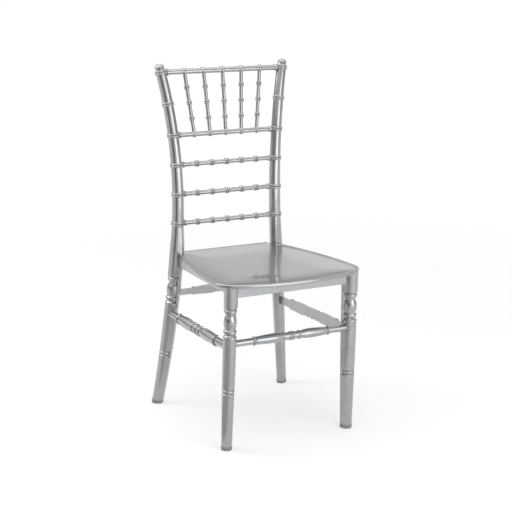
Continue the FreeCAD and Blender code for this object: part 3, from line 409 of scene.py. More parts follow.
def ridge(middle, width, radius, rise, steps=8):
    """A half-round ridge on a rod."""
    points = []
    for step in range(steps + 1):
        turn = pi * step / steps
        points.append((middle - width / 2 * cos(turn), radius + rise * sin(turn)))
    return points


def double_ridge(middle, width, radius, rise):
    """Two ridges side by side with a shallow valley between."""
    quarter = width / 4
    return (ridge(middle - quarter, width / 2, radius, rise)
            + ridge(middle + quarter, width / 2, radius, rise))


def band(middle, width, radius, rise):
    """A flat collar with rounded edges."""
    return ridge(middle, width, radius, rise, 4) if width < 3 * rise else (
        ridge(middle - width / 2 + rise, 2 * rise, radius, rise, 8)[:5]
        + ridge(middle + width / 2 - rise, 2 * rise, radius, rise, 8)[4:])


def turned(profile, sides):
    """A body turned round the Z axis, with closed ends."""
    bm = bmesh.new()
    ends = [(profile[0][0], 0)] + profile + [(profile[-1][0], 0)]
    verts = [bm.verts.new((radius, 0, place)) for place, radius in ends]
    edges = [bm.edges.new(pair) for pair in zip(verts, verts[1:])]
    bmesh.ops.spin(bm, geom=verts + edges, cent=(0, 0, 0), axis=(0, 0, 1),
                   angle=2 * pi, steps=sides, use_merge=True)
    bmesh.ops.remove_doubles(bm, verts=bm.verts, dist=0.1 * HAIR)
    return bm


def set_between(bm, start, stop, inward=None):
    """Carry a body turned on Z from the origin to a line, its X facing inward."""
    along = (stop - start).normalized()
    across = inward if inward else Vector((0, 1, 0.1))
    across = (across - along * across.dot(along)).normalized()
    side = along.cross(across)
    turn = Matrix((across, side, along)).transposed().to_4x4()
    bmesh.ops.transform(bm, matrix=Matrix.Translation(start) @ turn, verts=bm.verts)
    return bm


def last_place(low, high, steps, below):
    """Halve the span round the place where below stops being true."""
    for _ in range(steps):
        middle = (low + high) / 2
        if below(middle):
            low = middle
        else:
            high = middle
    return low, high


def eased(share):
    """A smooth step from 0 to 1, level beyond both."""
    share = min(max(share, 0), 1)
    return share * share * (3 - 2 * share)


def arc_radius(chord_squared, bow):
    return (chord_squared / 4 + bow ** 2) / (2 * bow)


# Axes of posts and legs
class BowedAxis:
    """An arc over a chord, or a straight line when it has no bow."""

    def __init__(self, low, high, outward, bow=0.0, turn=0.0):
        self.low = Vector(low)
        self.high = Vector(high)
        self.outward = Vector(outward).normalized()
        self.along = (self.high - self.low).normalized()
        self.bow = bow
        if bow:
            heading = Vector((-cos(turn), -sin(turn), 0))
            self.side = (heading - self.along * heading.dot(self.along)).normalized()
            chord = (self.high - self.low).length
            self.radius = arc_radius(chord ** 2, bow)
            self.centre = (self.low + self.high) / 2 + self.side * (bow - self.radius)
            self.half_angle = asin(chord / 2 / self.radius)

    def place(self, share):
        if not self.bow:
            return self.low.lerp(self.high, share), self.along
        turn = (2 * share - 1) * self.half_angle
        point = (self.centre + self.side * (self.radius * cos(turn))
                 + self.along * (self.radius * sin(turn)))
        return point, self.along * cos(turn) - self.side * sin(turn)

    def at_height(self, height):
        """Point and direction where the axis, or its course beyond the ends, passes a height."""
        low, high = last_place(-0.5, 1.5, 40, lambda share: self.place(share)[0].z < height)
        return self.place((low + high) / 2)

    def bend(self, bm):
        """Carry a body turned on Z, drawn with real heights, onto the axis."""
        rows = {}
        for vert in bm.verts:
            height = round(vert.co.z, 6)
            if height not in rows:
                point, along = self.at_height(height)
                out = (self.outward - along * self.outward.dot(along)).normalized()
                rows[height] = (point, out, along.cross(out))
            point, out, side = rows[height]
            vert.co = point + out * vert.co.x + side * vert.co.y
        return bm


def post_axis(back):
    return BowedAxis((back.seam_spread, back.seam_back, back.seam_height),
                     (back.crown_spread, back.crown_back, back.crown_height), (1, 1, 0),
                     back.post_bow, back.post_bow_turn)


def rear_axis(back, legs):
    return BowedAxis((legs.rear_foot_spread, legs.rear_foot_back, 0),
                     (back.seam_spread, back.seam_back, back.seam_height), (1, 1, 0),
                     legs.rear_bow, legs.rear_bow_turn)


def front_axis(back, legs):
    return BowedAxis((legs.front_foot_spread, -legs.front_foot_front, 0),
                     (legs.front_head_spread, -legs.front_head_front, back.seam_height),
                     (1, -1, 0))


def graded_between(low, low_value, high, high_value, place):
    return low_value + (high_value - low_value) * (place - low) / (high - low)


def post_radius(back, height):
    return graded_between(back.seam_height, back.post_seam_radius,
                          back.crown_height, back.post_top_radius, height)


def d_radius(turn, radius, depth, legs):
    """Distance from the axis to a D section's outline, by the angle from outward."""
    corner = legs.flat_corner
    half = legs.flat_half
    turn = abs(turn)
    reach = hypot(depth - corner, half)
    bearing = atan2(half, corner - depth)
    normal = bearing - acos((radius - corner) / reach)
    if turn <= normal:
        return radius
    end = Vector((corner - depth + corner * cos(normal), half + corner * sin(normal)))
    if turn <= atan2(end.y, end.x):
        return radius / cos(turn - normal)
    if turn <= atan2(half, -depth):
        ray = Vector((cos(turn), sin(turn)))
        centre = Vector((corner - depth, half))
        part = centre.dot(ray)
        return part + sqrt(part ** 2 - centre.length_squared + corner ** 2)
    return -depth / cos(turn)


def web_turn(turn, web):
    """Angle from outward that a column of a turned leg moves to.

    The columns inside the web are drawn together at its edge, so that the step is crisp."""
    size = abs(turn)
    edge = pi - web
    if size <= edge + ANGLE_SLACK or size > pi - ANGLE_SLACK:
        return turn
    step = 0.06
    reach = 0.846
    crowding = 1.6
    share = (size - edge) / web
    return copysign(edge + web * (step + reach * share ** crowding), turn)


def set_outline(bm, outline, ceiling=inf):
    """Move the points of a turned body below a ceiling to a new turn and distance from Z."""
    for vert in bm.verts:
        reach = hypot(vert.co.x, vert.co.y)
        if reach >= HAIR and vert.co.z < ceiling:
            turn = atan2(vert.co.y, vert.co.x)
            turn, distance = outline(vert.co.z, turn, reach)
            vert.co.x = distance * cos(turn)
            vert.co.y = distance * sin(turn)


def leg_outline(section, legs):
    """A leg's D section, with the turning kept off the inner web."""
    web = legs.web_angle

    def outline(height, turn, reach):
        radius, depth = section(height)
        if abs(turn) > pi - web + ANGLE_SLACK:
            turn = web_turn(turn, web)
            return turn, d_radius(turn, radius, depth, legs)
        return turn, min(d_radius(turn, radius, depth, legs), reach)
    return outline


def places_between(low, high, step=12 * MM):
    """Evenly spaced places along a plain stretch, without its two ends."""
    count = max(int((high - low) / step), 1)
    return [low + (high - low) * number / count for number in range(1, count)]


def plain_run(low, high, radius, step=12 * MM):
    return [(place, radius) for place in places_between(low, high, step)]


def filled(parts, radius_at):
    """Join groups of profile points, in rising order, with plain stretches between."""
    profile = list(parts[0])
    for part in parts[1:]:
        for place in places_between(profile[-1][0], part[0][0]):
            profile.append((place, radius_at(place)))
        profile += part
    return profile


# The back
RAIL_NODES = ("top_rail", "spindle_rail", "rail_upper", "rail_middle", "rail_lower")


def rail_height(node):
    low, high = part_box(node)
    return (low[2] + high[2]) / 2


class CHAIR_OT_posts(BuildStep, bpy.types.Operator):
    """Build the two bowed back posts with their double rings"""
    bl_idname = "chair.posts"
    bl_label = "Back posts"

    def build(self, scene):
        back = scene.chair_back
        legs = scene.chair_legs
        axis = post_axis(back)
        top = back.crown_height + back.post_stub
        start = back.seam_height
        flare_top = start + back.flare_height
        chamfer = 0.6 * MM
        rings = sorted([rail_height(node) for node in RAIL_NODES] + [back.middle_ring])

        def radius_at(height):
            return post_radius(back, height)

        def outline(height, turn, reach):
            flare = eased((flare_top - height) / back.flare_height)
            radius = radius_at(height)
            radius += (legs.head_radius - radius) * flare
            depth = radius + (legs.rear_head_depth - radius) * flare
            distance = d_radius(turn, radius, depth + HAIR, legs)
            if height <= start + HAIR:
                distance -= chamfer
            elif radius_at(height) * 1.02 < reach < 2 * legs.head_radius:
                # A ring of the post stands out of the flare
                distance = max(distance, reach)
            return turn, distance

        def make():
            parts = [[(start, legs.head_radius * 0.9),
                      (start + 0.05 * MM, legs.rear_head_depth * 2)]]
            for height in rings:
                parts.append(double_ridge(height, back.ring_width, radius_at(height),
                                          back.ring_rise))
            parts.append([(top - chamfer, radius_at(top)), (top, radius_at(top) - chamfer)])
            bm = turned(filled(parts, radius_at), TURNED_SIDES)
            set_outline(bm, outline, flare_top)
            return axis.bend(bm)

        add_pair("post", make)


class CHAIR_OT_finials(BuildStep, bpy.types.Operator):
    """Build the ball finials on the posts"""
    bl_idname = "chair.finials"
    bl_label = "Finials"

    def build(self, scene):
        back = scene.chair_back
        seat, along = post_axis(back).at_height(back.crown_height + back.post_stub)
        neck = back.finial_neck
        collar = neck * 0.2
        # The ball is widest at this share of its height, and a little fuller than an ellipse
        widest = 0.3
        fullness = 0.92
        crown = (back.finial_height - collar) * (1 - widest)
        middle = back.finial_height - crown
        steps = 20

        def make():
            profile = [(0, neck * 0.96), (0.4 * MM, neck), (neck * 0.16, neck)]
            profile += swell(middle - collar, neck * 0.98, middle, back.finial_radius,
                             0.3 * MM, 5)
            for step in range(1, steps):
                turn = pi / 2 * step / steps
                profile.append((middle + crown * sin(turn),
                                back.finial_radius * cos(turn) ** fullness))
            profile.append((back.finial_height, 0.2 * MM))
            bm = turned(profile, TURNED_SIDES)
            return set_between(bm, seat, seat + along)

        add_pair("finial", make)


def add_rod(node, start, stop, radius, parts, hidden=0):
    """A round bar from start to stop with knots and collars, its ends hidden inside others."""
    ends = [(hidden, radius)], [((stop - start).length - hidden, radius)]
    profile = filled([ends[0], *parts, ends[1]], lambda place: radius)
    add_piece(node, set_between(turned(profile, ROD_SIDES), start, stop))


class CHAIR_OT_rails(BuildStep, bpy.types.Operator):
    """Build the rails of the back, with their knots and collars"""
    bl_idname = "chair.rails"
    bl_label = "Rails"

    def build(self, scene):
        back = scene.chair_back
        radii = dict(zip(RAIL_NODES, (back.top_rail_radius, back.spindle_rail_radius)
                         + (back.cross_rail_radius,) * 3))
        pitches = dict(zip(RAIL_NODES, (back.pitch_top, back.pitch_low)
                           + (back.knot_pitch,) * 3))
        for node in RAIL_NODES:
            low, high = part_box(node)
            start = Vector((low[0], (low[1] + high[1]) / 2, rail_height(node)))
            stop = Vector((high[0], start.y, start.z))
            radius = radii[node]
            half = (stop.x - start.x) / 2
            post = post_axis(back).at_height(start.z)[0].x - post_radius(back, start.z)
            collar = post - back.ring_rise - back.end_collar_width / 2
            parts = [band(half - collar, back.end_collar_width, radius, back.collar_rise)]
            for number in range(5):
                place = half + (number - 2) * pitches[node]
                if node in ("top_rail", "spindle_rail"):
                    parts.append(band(place, back.collar_width, radius, back.collar_rise))
                else:
                    parts.append(double_ridge(place, back.knot_width, radius, back.knot_rise))
            parts.append(band(half + collar, back.end_collar_width, radius, back.collar_rise))
            add_rod(node, start, stop, radius, parts)


class CHAIR_OT_spindles(BuildStep, bpy.types.Operator):
    """Build the five fanned spindles"""
    bl_idname = "chair.spindles"
    bl_label = "Spindles"

    def build(self, scene):
        back = scene.chair_back
        axis = post_axis(back)
        low_rail = axis.at_height(rail_height("spindle_rail"))[0]
        high_rail = axis.at_height(rail_height("top_rail"))[0]
        for number in range(5):
            steps = number - 2
            low = Vector((steps * back.pitch_low, low_rail.y, low_rail.z))
            high = Vector((steps * back.pitch_top, high_rail.y, high_rail.z))
            parts = [double_ridge((high - low).length * quarter / 4, back.spindle_knot_width,
                                  back.spindle_radius, back.spindle_knot_rise)
                     for quarter in (1, 2, 3)]
            add_rod("spindle_%d" % (number + 1), low, high, back.spindle_radius, parts,
                    back.spindle_rail_radius * 0.7)


# The legs
def swells(middle, rows):
    """Swells in mm from a middle height: start and radius, stop and radius, bulge, steps."""
    points = []
    for low, low_radius, high, high_radius, bulge, steps in rows:
        points += swell(middle + low * MM, low_radius * MM, middle + high * MM,
                        high_radius * MM, bulge * MM, steps)
    return points


def leg_profile(legs, top, drop):
    """The turned work of a leg, as groups of points with plain leg between."""
    # Wider than any section, so that plain stretches are cut to the D outline
    plain = 2 * legs.front_head_depth
    urn = legs.urn_height - drop
    ankle = legs.ankle_height - drop
    head = legs.head_radius / MM
    skin = graded_between(0, legs.foot_radius, legs.knee_height, legs.knee_radius, ankle) / MM
    groove = skin - 2.6
    edge = (skin + 0.3) * MM
    lower = [(ankle - 9 * MM, plain), (ankle - 8.9 * MM, edge)] + swells(ankle, (
        (-8, skin, -5, groove, 0.4, 5),
        (-5, groove, 5, groove, 2.8, 14),
        (5, groove, 7.4, skin, 0.4, 5),
    )) + [(ankle + 8 * MM, edge), (ankle + 8.1 * MM, plain)]
    upper = [(urn - 44.5 * MM, plain)] + swells(urn, (
        (-44.4, head, -31, 13.2, 2, 14),
        (-29.6, 13.2, -17.1, 13.4, 3.3, 16),
        (-15.6, 13.2, 16.7, 12.5, 3.5, 26),
        (17.4, 12.2, 24.6, 14.4, -0.9, 8),
        (25.2, 14.2, 34.4, 14.2, 2.2, 14),
        (35, 14.2, 38.4, head, -0.3, 6),
    )) + [(urn + 38.6 * MM, plain)]
    return filled([[(legs.glide_height, plain)], lower, upper, [(top, plain)]],
                  lambda place: plain)


def leg_section(legs, top, head_depth, knee_depth):
    """Round radius and inner depth of a leg at a height."""
    def section(height):
        knee = legs.knee_height
        if height < knee:
            return (graded_between(0, legs.foot_radius, knee, legs.knee_radius, height),
                    graded_between(0, legs.foot_depth, knee, knee_depth, height))
        return (graded_between(knee, legs.knee_radius, top, legs.head_radius, height),
                graded_between(knee, knee_depth, top, head_depth, height))
    return section


# The depth is the head's, from the axis to the inner flat; the drop is the turning's
LegKind = namedtuple("LegKind", "end axis section depth drop")


def leg_kinds(scene):
    """The front and the rear kind of leg."""
    back = scene.chair_back
    legs = scene.chair_legs
    top = back.seam_height
    return (
        LegKind("front", front_axis(back, legs),
                leg_section(legs, top, legs.front_head_depth, legs.front_knee_depth),
                legs.front_head_depth, 0),
        LegKind("rear", rear_axis(back, legs),
                leg_section(legs, top, legs.rear_head_depth, legs.rear_knee_depth),
                legs.rear_head_depth, legs.rear_drop),
    )


class CHAIR_OT_legs(BuildStep, bpy.types.Operator):
    """Build the four legs: a D section with turned work on its outer side"""
    bl_idname = "chair.legs"
    bl_label = "Legs"

    def build(self, scene):
        legs = scene.chair_legs
        seat = scene.chair_seat
        top = scene.chair_back.seam_height
        for kind in leg_kinds(scene):

            def make():
                bm = turned(leg_profile(legs, top, kind.drop), TURNED_SIDES)
                set_outline(bm, leg_outline(kind.section, legs))
                kind.axis.bend(bm)
                if kind.end == "front":
                    for vert in bm.verts:
                        limit = seat_top(seat, vert.co.x, vert.co.y) - seat.wall / 2
                        if vert.co.z > limit or vert.co.z > top - 1 * MM:
                            vert.co.z = limit
                return bm

            add_pair(kind.end + "_leg", make)


class CHAIR_OT_glides(BuildStep, bpy.types.Operator):
    """Build the foot glides"""
    bl_idname = "chair.glides"
    bl_label = "Foot glides"

    def build(self, scene):
        legs = scene.chair_legs
        edge = legs.glide_round
        top = legs.glide_height
        chamfer = 0.4 * MM
        for kind in leg_kinds(scene):

            def outline(height, turn, reach):
                pulled = legs.glide_flare
                if height < edge:
                    pulled -= edge - sqrt(max(edge ** 2 - (edge - height) ** 2, 0))
                if height > top - chamfer / 2:
                    pulled -= chamfer
                return turn, d_radius(turn, *kind.section(height), legs) + pulled

            def make():
                rows = [edge * (1 - cos(pi / 2 * step / 6)) for step in range(7)]
                rows += places_between(edge, top, 2 * MM) + [top - chamfer, top]
                # The radius is only a stand-in, since the outline sets the real one
                bm = turned([(row, 1.0) for row in rows], TURNED_SIDES)
                set_outline(bm, outline)
                heights = [vert.co.z for vert in bm.verts]
                kind.axis.bend(bm)
                # The foot is raked, and yet the glide stands flat on the floor
                for vert, height in zip(bm.verts, heights):
                    share = (height / top) ** 2
                    vert.co.z = height + (vert.co.z - height) * share
                return bm

            add_pair("glide_" + kind.end, make, "glide_plastic")


class CHAIR_OT_stretchers(BuildStep, bpy.types.Operator):
    """Build the turned half-round stretchers"""
    bl_idname = "chair.stretchers"
    bl_label = "Stretchers"

    def profile(self, sizes, reach):
        """Half profile over the whole length, mirrored about its middle."""
        ring = (reach + 2 * sizes.set_in) * sizes.ring_share
        half = sizes.ring_width / 2
        bead_width = sizes.ring_width * 0.95
        bead_rise = sizes.bead_radius - sizes.waist_radius
        waist = sizes.waist_radius
        middle = reach / 2
        side = [(0, sizes.end_radius)]
        side += plain_run(0, middle - ring - half, sizes.end_radius)
        side += ridge(middle - ring, sizes.ring_width, sizes.end_radius,
                      sizes.ring_radius - sizes.end_radius, 10)
        low = middle - ring + half + 0.6 * MM
        belly = middle - sizes.bead_reach - low
        steps = 28
        # The bulb is fullest two thirds of the way in, and starts as a small step
        swollen = 0.66
        foot = 0.15
        for step in range(steps + 1):
            share = step / steps
            if share < swollen:
                rise = foot + (1 - foot) * sin(pi / 2 * share / swollen)
            else:
                rise = cos(pi / 2 * (share - swollen) / (1 - swollen)) ** 1.2
            side.append((low + belly * share, waist + (sizes.bulb_radius - waist) * rise))
        side += ridge(middle - sizes.bead_reach + half + 0.4 * MM, bead_width, waist,
                      bead_rise, 10)
        side += plain_run(middle - sizes.bead_reach + 2 * half + 1 * MM, middle - 8 * MM,
                          waist, 2 * MM)
        side += ridge(middle - half - 0.1 * MM, bead_width, waist, bead_rise, 10)
        return side + [(reach - place, radius) for place, radius in reversed(side)]

    def build(self, scene):
        sizes = scene.chair_stretchers
        for node, (start, stop, inward) in stretcher_runs(scene).items():
            reach = (stop - start).length
            share = sizes.side_share if node.endswith(("_right", "_left")) else 1
            profile = [(place, radius * share) for place, radius in self.profile(sizes, reach)]
            bm = turned(profile, TURNED_SIDES)
            cut = bmesh.ops.bisect_plane(
                bm, geom=bm.verts[:] + bm.edges[:] + bm.faces[:], plane_co=(sizes.flat, 0, 0),
                plane_no=(1, 0, 0), clear_outer=True)
            edges = [item for item in cut["geom_cut"] if isinstance(item, bmesh.types.BMEdge)]
            bmesh.ops.contextual_create(bm, geom=edges)
            add_piece(node, set_between(bm, start, stop, inward))


def stretcher_runs(scene):
    """Ends of each stretcher's axis and the way its flat faces."""
    sizes = scene.chair_stretchers
    front = front_axis(scene.chair_back, scene.chair_legs)
    rear = rear_axis(scene.chair_back, scene.chair_legs)

    def run(start, stop):
        along = (stop - start).normalized()
        return start + along * sizes.set_in, stop - along * sizes.set_in

    def flipped(point):
        return Vector((-point.x, point.y, point.z))

    front_end = front.at_height(sizes.front_height)[0]
    back_end = rear.at_height(sizes.back_height)[0]
    side = run(front.at_height(sizes.side_front_height)[0],
               rear.at_height(sizes.side_rear_height)[0])
    return {
        "stretcher_front": (*run(flipped(front_end), front_end), Vector((0, 1, 0))),
        "stretcher_back": (*run(flipped(back_end), back_end), Vector((0, -1, 0))),
        "stretcher_right": (*side, Vector((-1, 0, 0))),
        "stretcher_left": (flipped(side[0]), flipped(side[1]), Vector((1, 0, 0))),
    }


# The seat
def rounded_corner(first, first_normal, second, second_normal, radius):
    """Distance inside two edges that meet in a rounded corner."""
    cosine = first_normal.dot(second_normal)
    sine_squared = 1 - cosine ** 2
    a = first - radius
    b = second - radius
    along_first = (a - b * cosine) / sine_squared
    along_second = (b - a * cosine) / sine_squared
    if along_first >= 0 or along_second >= 0:
        return min(first, second)
    return radius - sqrt((a * a + b * b - 2 * a * b * cosine) / sine_squared)


def side_circle(seat):
    """Centre and radius of the arc of the seat's side, from its chord and bulge."""
    low = Vector((seat.corner_half, -seat.corner_front))
    high = Vector((seat.rear_half, seat.rear_place))
    chord = high - low
    outward = Vector((chord.y, -chord.x)).normalized()
    bow = seat.side_bow
    radius = arc_radius(chord.length_squared, bow)
    return (low + high) / 2 - outward * (radius - bow), radius


def seat_inset(seat, x, y, corner):
    """Distance from the seat's outline to a place inside it, with the ears whole."""
    spot = Vector((abs(x), y))
    front_centre = Vector((0, seat.front_arc - seat.front))
    bow = seat.front_arc - (spot - front_centre).length
    bow_normal = (front_centre - spot).normalized()
    side_centre, side_arc = side_circle(seat)
    side = side_arc - (spot - side_centre).length
    side_normal = (side_centre - spot).normalized()
    back = seat.back - y
    back_normal = Vector((0, -1))
    front = rounded_corner(bow, bow_normal, side, side_normal, corner)
    rear = rounded_corner(back, back_normal, side, side_normal, max(corner - seat.corner, 4 * MM))
    return min(front, rear)


def dish(seat, inset):
    """Depth of the dish by the distance from the rim."""
    steepness = 2.4
    share = (inset - seat.bead) / (seat.dish_reach - seat.bead)
    share = min(max(share, 0), 1)
    return seat.dish_depth * (1 - (1 - share) ** steepness)


def seat_plane(seat, y):
    return seat.rim_height - y * tan(seat.slope)


def seat_top(seat, x, y):
    """Height of the seat's upper face."""
    inset = seat_inset(seat, x, y, seat.corner)
    return seat_plane(seat, y) - seat.edge_drop - dish(seat, inset)


class CHAIR_OT_seat(BuildStep, bpy.types.Operator):
    """Build the dished seat with its rolled rim, bosses and gate mark"""
    bl_idname = "chair.seat"
    bl_label = "Seat"

    COLUMNS = 480
    RIM_STEPS = 18
    # Distances from the outline, in mm, of the rows of the upper face
    INSETS = (110, 98, 86, 76, 66, 57, 49, 42, 35.5, 29.5, 24, 19.5, 15.5, 12.5, 10.2)

    def plan_reach(self, seat, turn, inset):
        """Distance from the origin to the outline, drawn in by an inset, along a ray."""
        share = min(inset / (seat.bead * 4), 1)
        corner = seat.corner + (seat.dish_corner + inset - seat.corner) * share

        def inside(reach):
            return seat_inset(seat, reach * cos(turn), reach * sin(turn), corner) > inset
        nearest = 0.05
        farthest = 0.35
        return last_place(nearest, farthest, 22, inside)[0]

    def notch_reach(self, seat, turn):
        """Where a ray leaves the seat beside a post, between the ear and the tail."""
        if sin(turn) <= 0.01 or abs(cos(turn)) < 0.01:
            return inf
        return max(seat.tail_half / abs(cos(turn)), seat.notch_back / sin(turn))

    def rim_spot(self, seat, step, bead_share):
        """Inset and drop of a point round the rim, from its inner top to underneath."""
        plain = seat.wall / 2
        radius = plain + (seat.bead - plain) * bead_share
        drop = seat.edge_drop + plain
        drop += (seat.bead - drop) * bead_share
        start = 25
        sweep = 273
        turn = radians(start + sweep * step / (self.RIM_STEPS - 1))
        # The outer face is flatter than a circle, so that it catches a line of light
        out = cos(turn)
        if out < 0:
            out = -abs(out) ** 0.6
        return radius + radius * out, drop - radius * sin(turn)

    def build_shell(self, seat):
        """Spin the rows of the cross-section, then carry each to its place in plan."""
        inner = len(self.INSETS)
        rows = 2 * inner + self.RIM_STEPS
        bm = turned([(row, 1 + row) for row in range(rows)], self.COLUMNS)
        reaches = {}
        for vert in bm.verts:
            # Each row was spun at its own number as height
            row = round(vert.co.z)
            if hypot(vert.co.x, vert.co.y) < 0.5:
                # The middle of the upper or the lower face
                below = seat.wall if row else 0
                vert.co = (0, 0, seat_top(seat, 0, 0) - below)
                continue
            turn = round(atan2(vert.co.y, abs(vert.co.x)), 5)
            side = copysign(1, vert.co.x)
            if turn not in reaches:
                reaches[turn] = self.column(seat, turn)
            x, y, z = reaches[turn][row]
            vert.co = (side * x, y, z)
        return bm

    def column(self, seat, turn):
        """Places of all the rows along one ray of the plan."""
        edge_y = self.plan_reach(seat, turn, 0) * sin(turn)
        # The rolled rim thins out to the plain back edge shortly before the notch
        fade = 8 * MM
        bead_share = eased((seat.notch_back - 1 * MM - edge_y) / fade)
        notch = self.notch_reach(seat, turn)
        # At the notch the rows lie close together, and yet not on each other
        crowding = 0.08

        def place(inset, drop):
            reach = min(self.plan_reach(seat, turn, inset), notch - inset * crowding)
            x, y = reach * cos(turn), reach * sin(turn)
            return x, y, seat_plane(seat, y) - drop

        upper = [place(inset * MM, seat.edge_drop + dish(seat, inset * MM))
                 for inset in self.INSETS]
        rim = [place(*self.rim_spot(seat, step, bead_share)) for step in range(self.RIM_STEPS)]
        lower = [(x, y, z - seat.wall) for x, y, z in reversed(upper)]
        return upper + rim + lower

    def add_bosses(self, bm, scene):
        """Bosses that take the seat screws."""
        seat = scene.chair_seat
        for kind in leg_kinds(scene):
            outward = kind.axis.outward
            spot = kind.axis.at_height(seat.rim_height - seat.bolt_drop)[0]
            along = Vector((1, -copysign(1, outward.y), 0)).normalized()
            place = spot - outward * (kind.depth + seat.screw_inset) - along * seat.screw_offset
            low = seat_plane(seat, place.y) - seat.boss_drop
            high = seat_top(seat, place.x, place.y) - seat.wall / 2
            edge = 0.8 * MM
            for side in (1, -1):
                boss = turned([(low, seat.boss_radius - edge), (low + edge, seat.boss_radius),
                               (high - 3 * MM, seat.boss_radius),
                               (high, seat.boss_radius + 2 * MM)], ROD_SIDES)
                bmesh.ops.translate(boss, vec=(side * place.x, place.y, 0), verts=boss.verts)
                join(bm, boss)

    def add_gate_mark(self, bm, seat):
        """Sawn-off stub of the sprue, on the front of the rim."""
        size = seat.gate_radius
        stub = turned([(-2 * size, size), (0.3 * MM, size), (0.6 * MM, size * 0.8)], ROD_SIDES)
        sunk = seat.bead * 0.26
        drop = seat.bead * 1.15
        facing = Vector((0, -0.9, -0.45))
        place = Vector((-seat.gate_aside, 0, 0))
        reach = sqrt((seat.front_arc - sunk) ** 2 - place.x ** 2)
        place.y = seat.front_arc - seat.front - reach
        place.z = seat_plane(seat, place.y) - drop
        set_between(stub, place, place + facing)
        join(bm, stub)

    def build(self, scene):
        seat = scene.chair_seat
        bm = self.build_shell(seat)
        self.add_bosses(bm, scene)
        self.add_gate_mark(bm, seat)
        add_piece("seat_shell", bm)


def join(bm, other):
    """Add a second bmesh to the first."""
    scrap = bpy.data.meshes.new("scrap")
    other.to_mesh(scrap)
    other.free()
    bm.from_mesh(scrap)
    bpy.data.meshes.remove(scrap)


class CHAIR_OT_under_frame(BuildStep, bpy.types.Operator):
    """Soften the edges of the aprons and corner brackets, and finish the fasteners"""
    bl_idname = "chair.under_frame"
    bl_label = "Aprons, brackets and fasteners"

    def build(self, scene):
        names = ["apron_front", "apron_back"]
        for side in ("right", "left"):
            names += ["apron_" + side, "bracket_front_" + side, "bracket_rear_" + side]
        for node in names:
            bm = bmesh.new()
            bm.from_mesh(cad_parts[node].data)
            bmesh.ops.remove_doubles(bm, verts=bm.verts, dist=HAIR)
            bmesh.ops.dissolve_limit(bm, angle_limit=radians(2), verts=bm.verts,
                                     edges=bm.edges)
            piece = add_piece(node, bm)
            bevel = piece.modifiers.new("moulded edges", "BEVEL")
            bevel.width = 0.9 * MM
            bevel.segments = 3
            bevel.limit_method = "ANGLE"
            bevel.angle_limit = radians(35)
            bevel.harden_normals = True
        for node in ("leg_bolts", "seat_screws"):
            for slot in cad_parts[node].material_slots:
                slot.link = "OBJECT"
                slot.material = material_for("steel")


# The stage
def lamp(name, place, aim, width, height, power):
    """A soft rectangular lamp."""
    light = bpy.data.lights.new(name, "AREA")
    light.shape = "RECTANGLE"
    light.size = width
    light.size_y = height
    light.energy = power
    thing = new_object(name, light)
    turn = (Vector(aim) - Vector(place)).to_track_quat("-Z", "Y")
    thing.matrix_world = Matrix.LocRotScale(Vector(place), turn, None)
    thing.visible_camera = False


def lit_for_view(tree, *names):
    """1 for what the camera sees, straight or by rays of the named kinds, and else 0."""
    path = add_node(tree, "LightPath").outputs
    seen = path["Is Camera Ray"]
    for name in names:
        seen = add_node(tree, "Math", {"operation": "MAXIMUM", 0: seen, 1: path[name]}).outputs[0]
    return seen


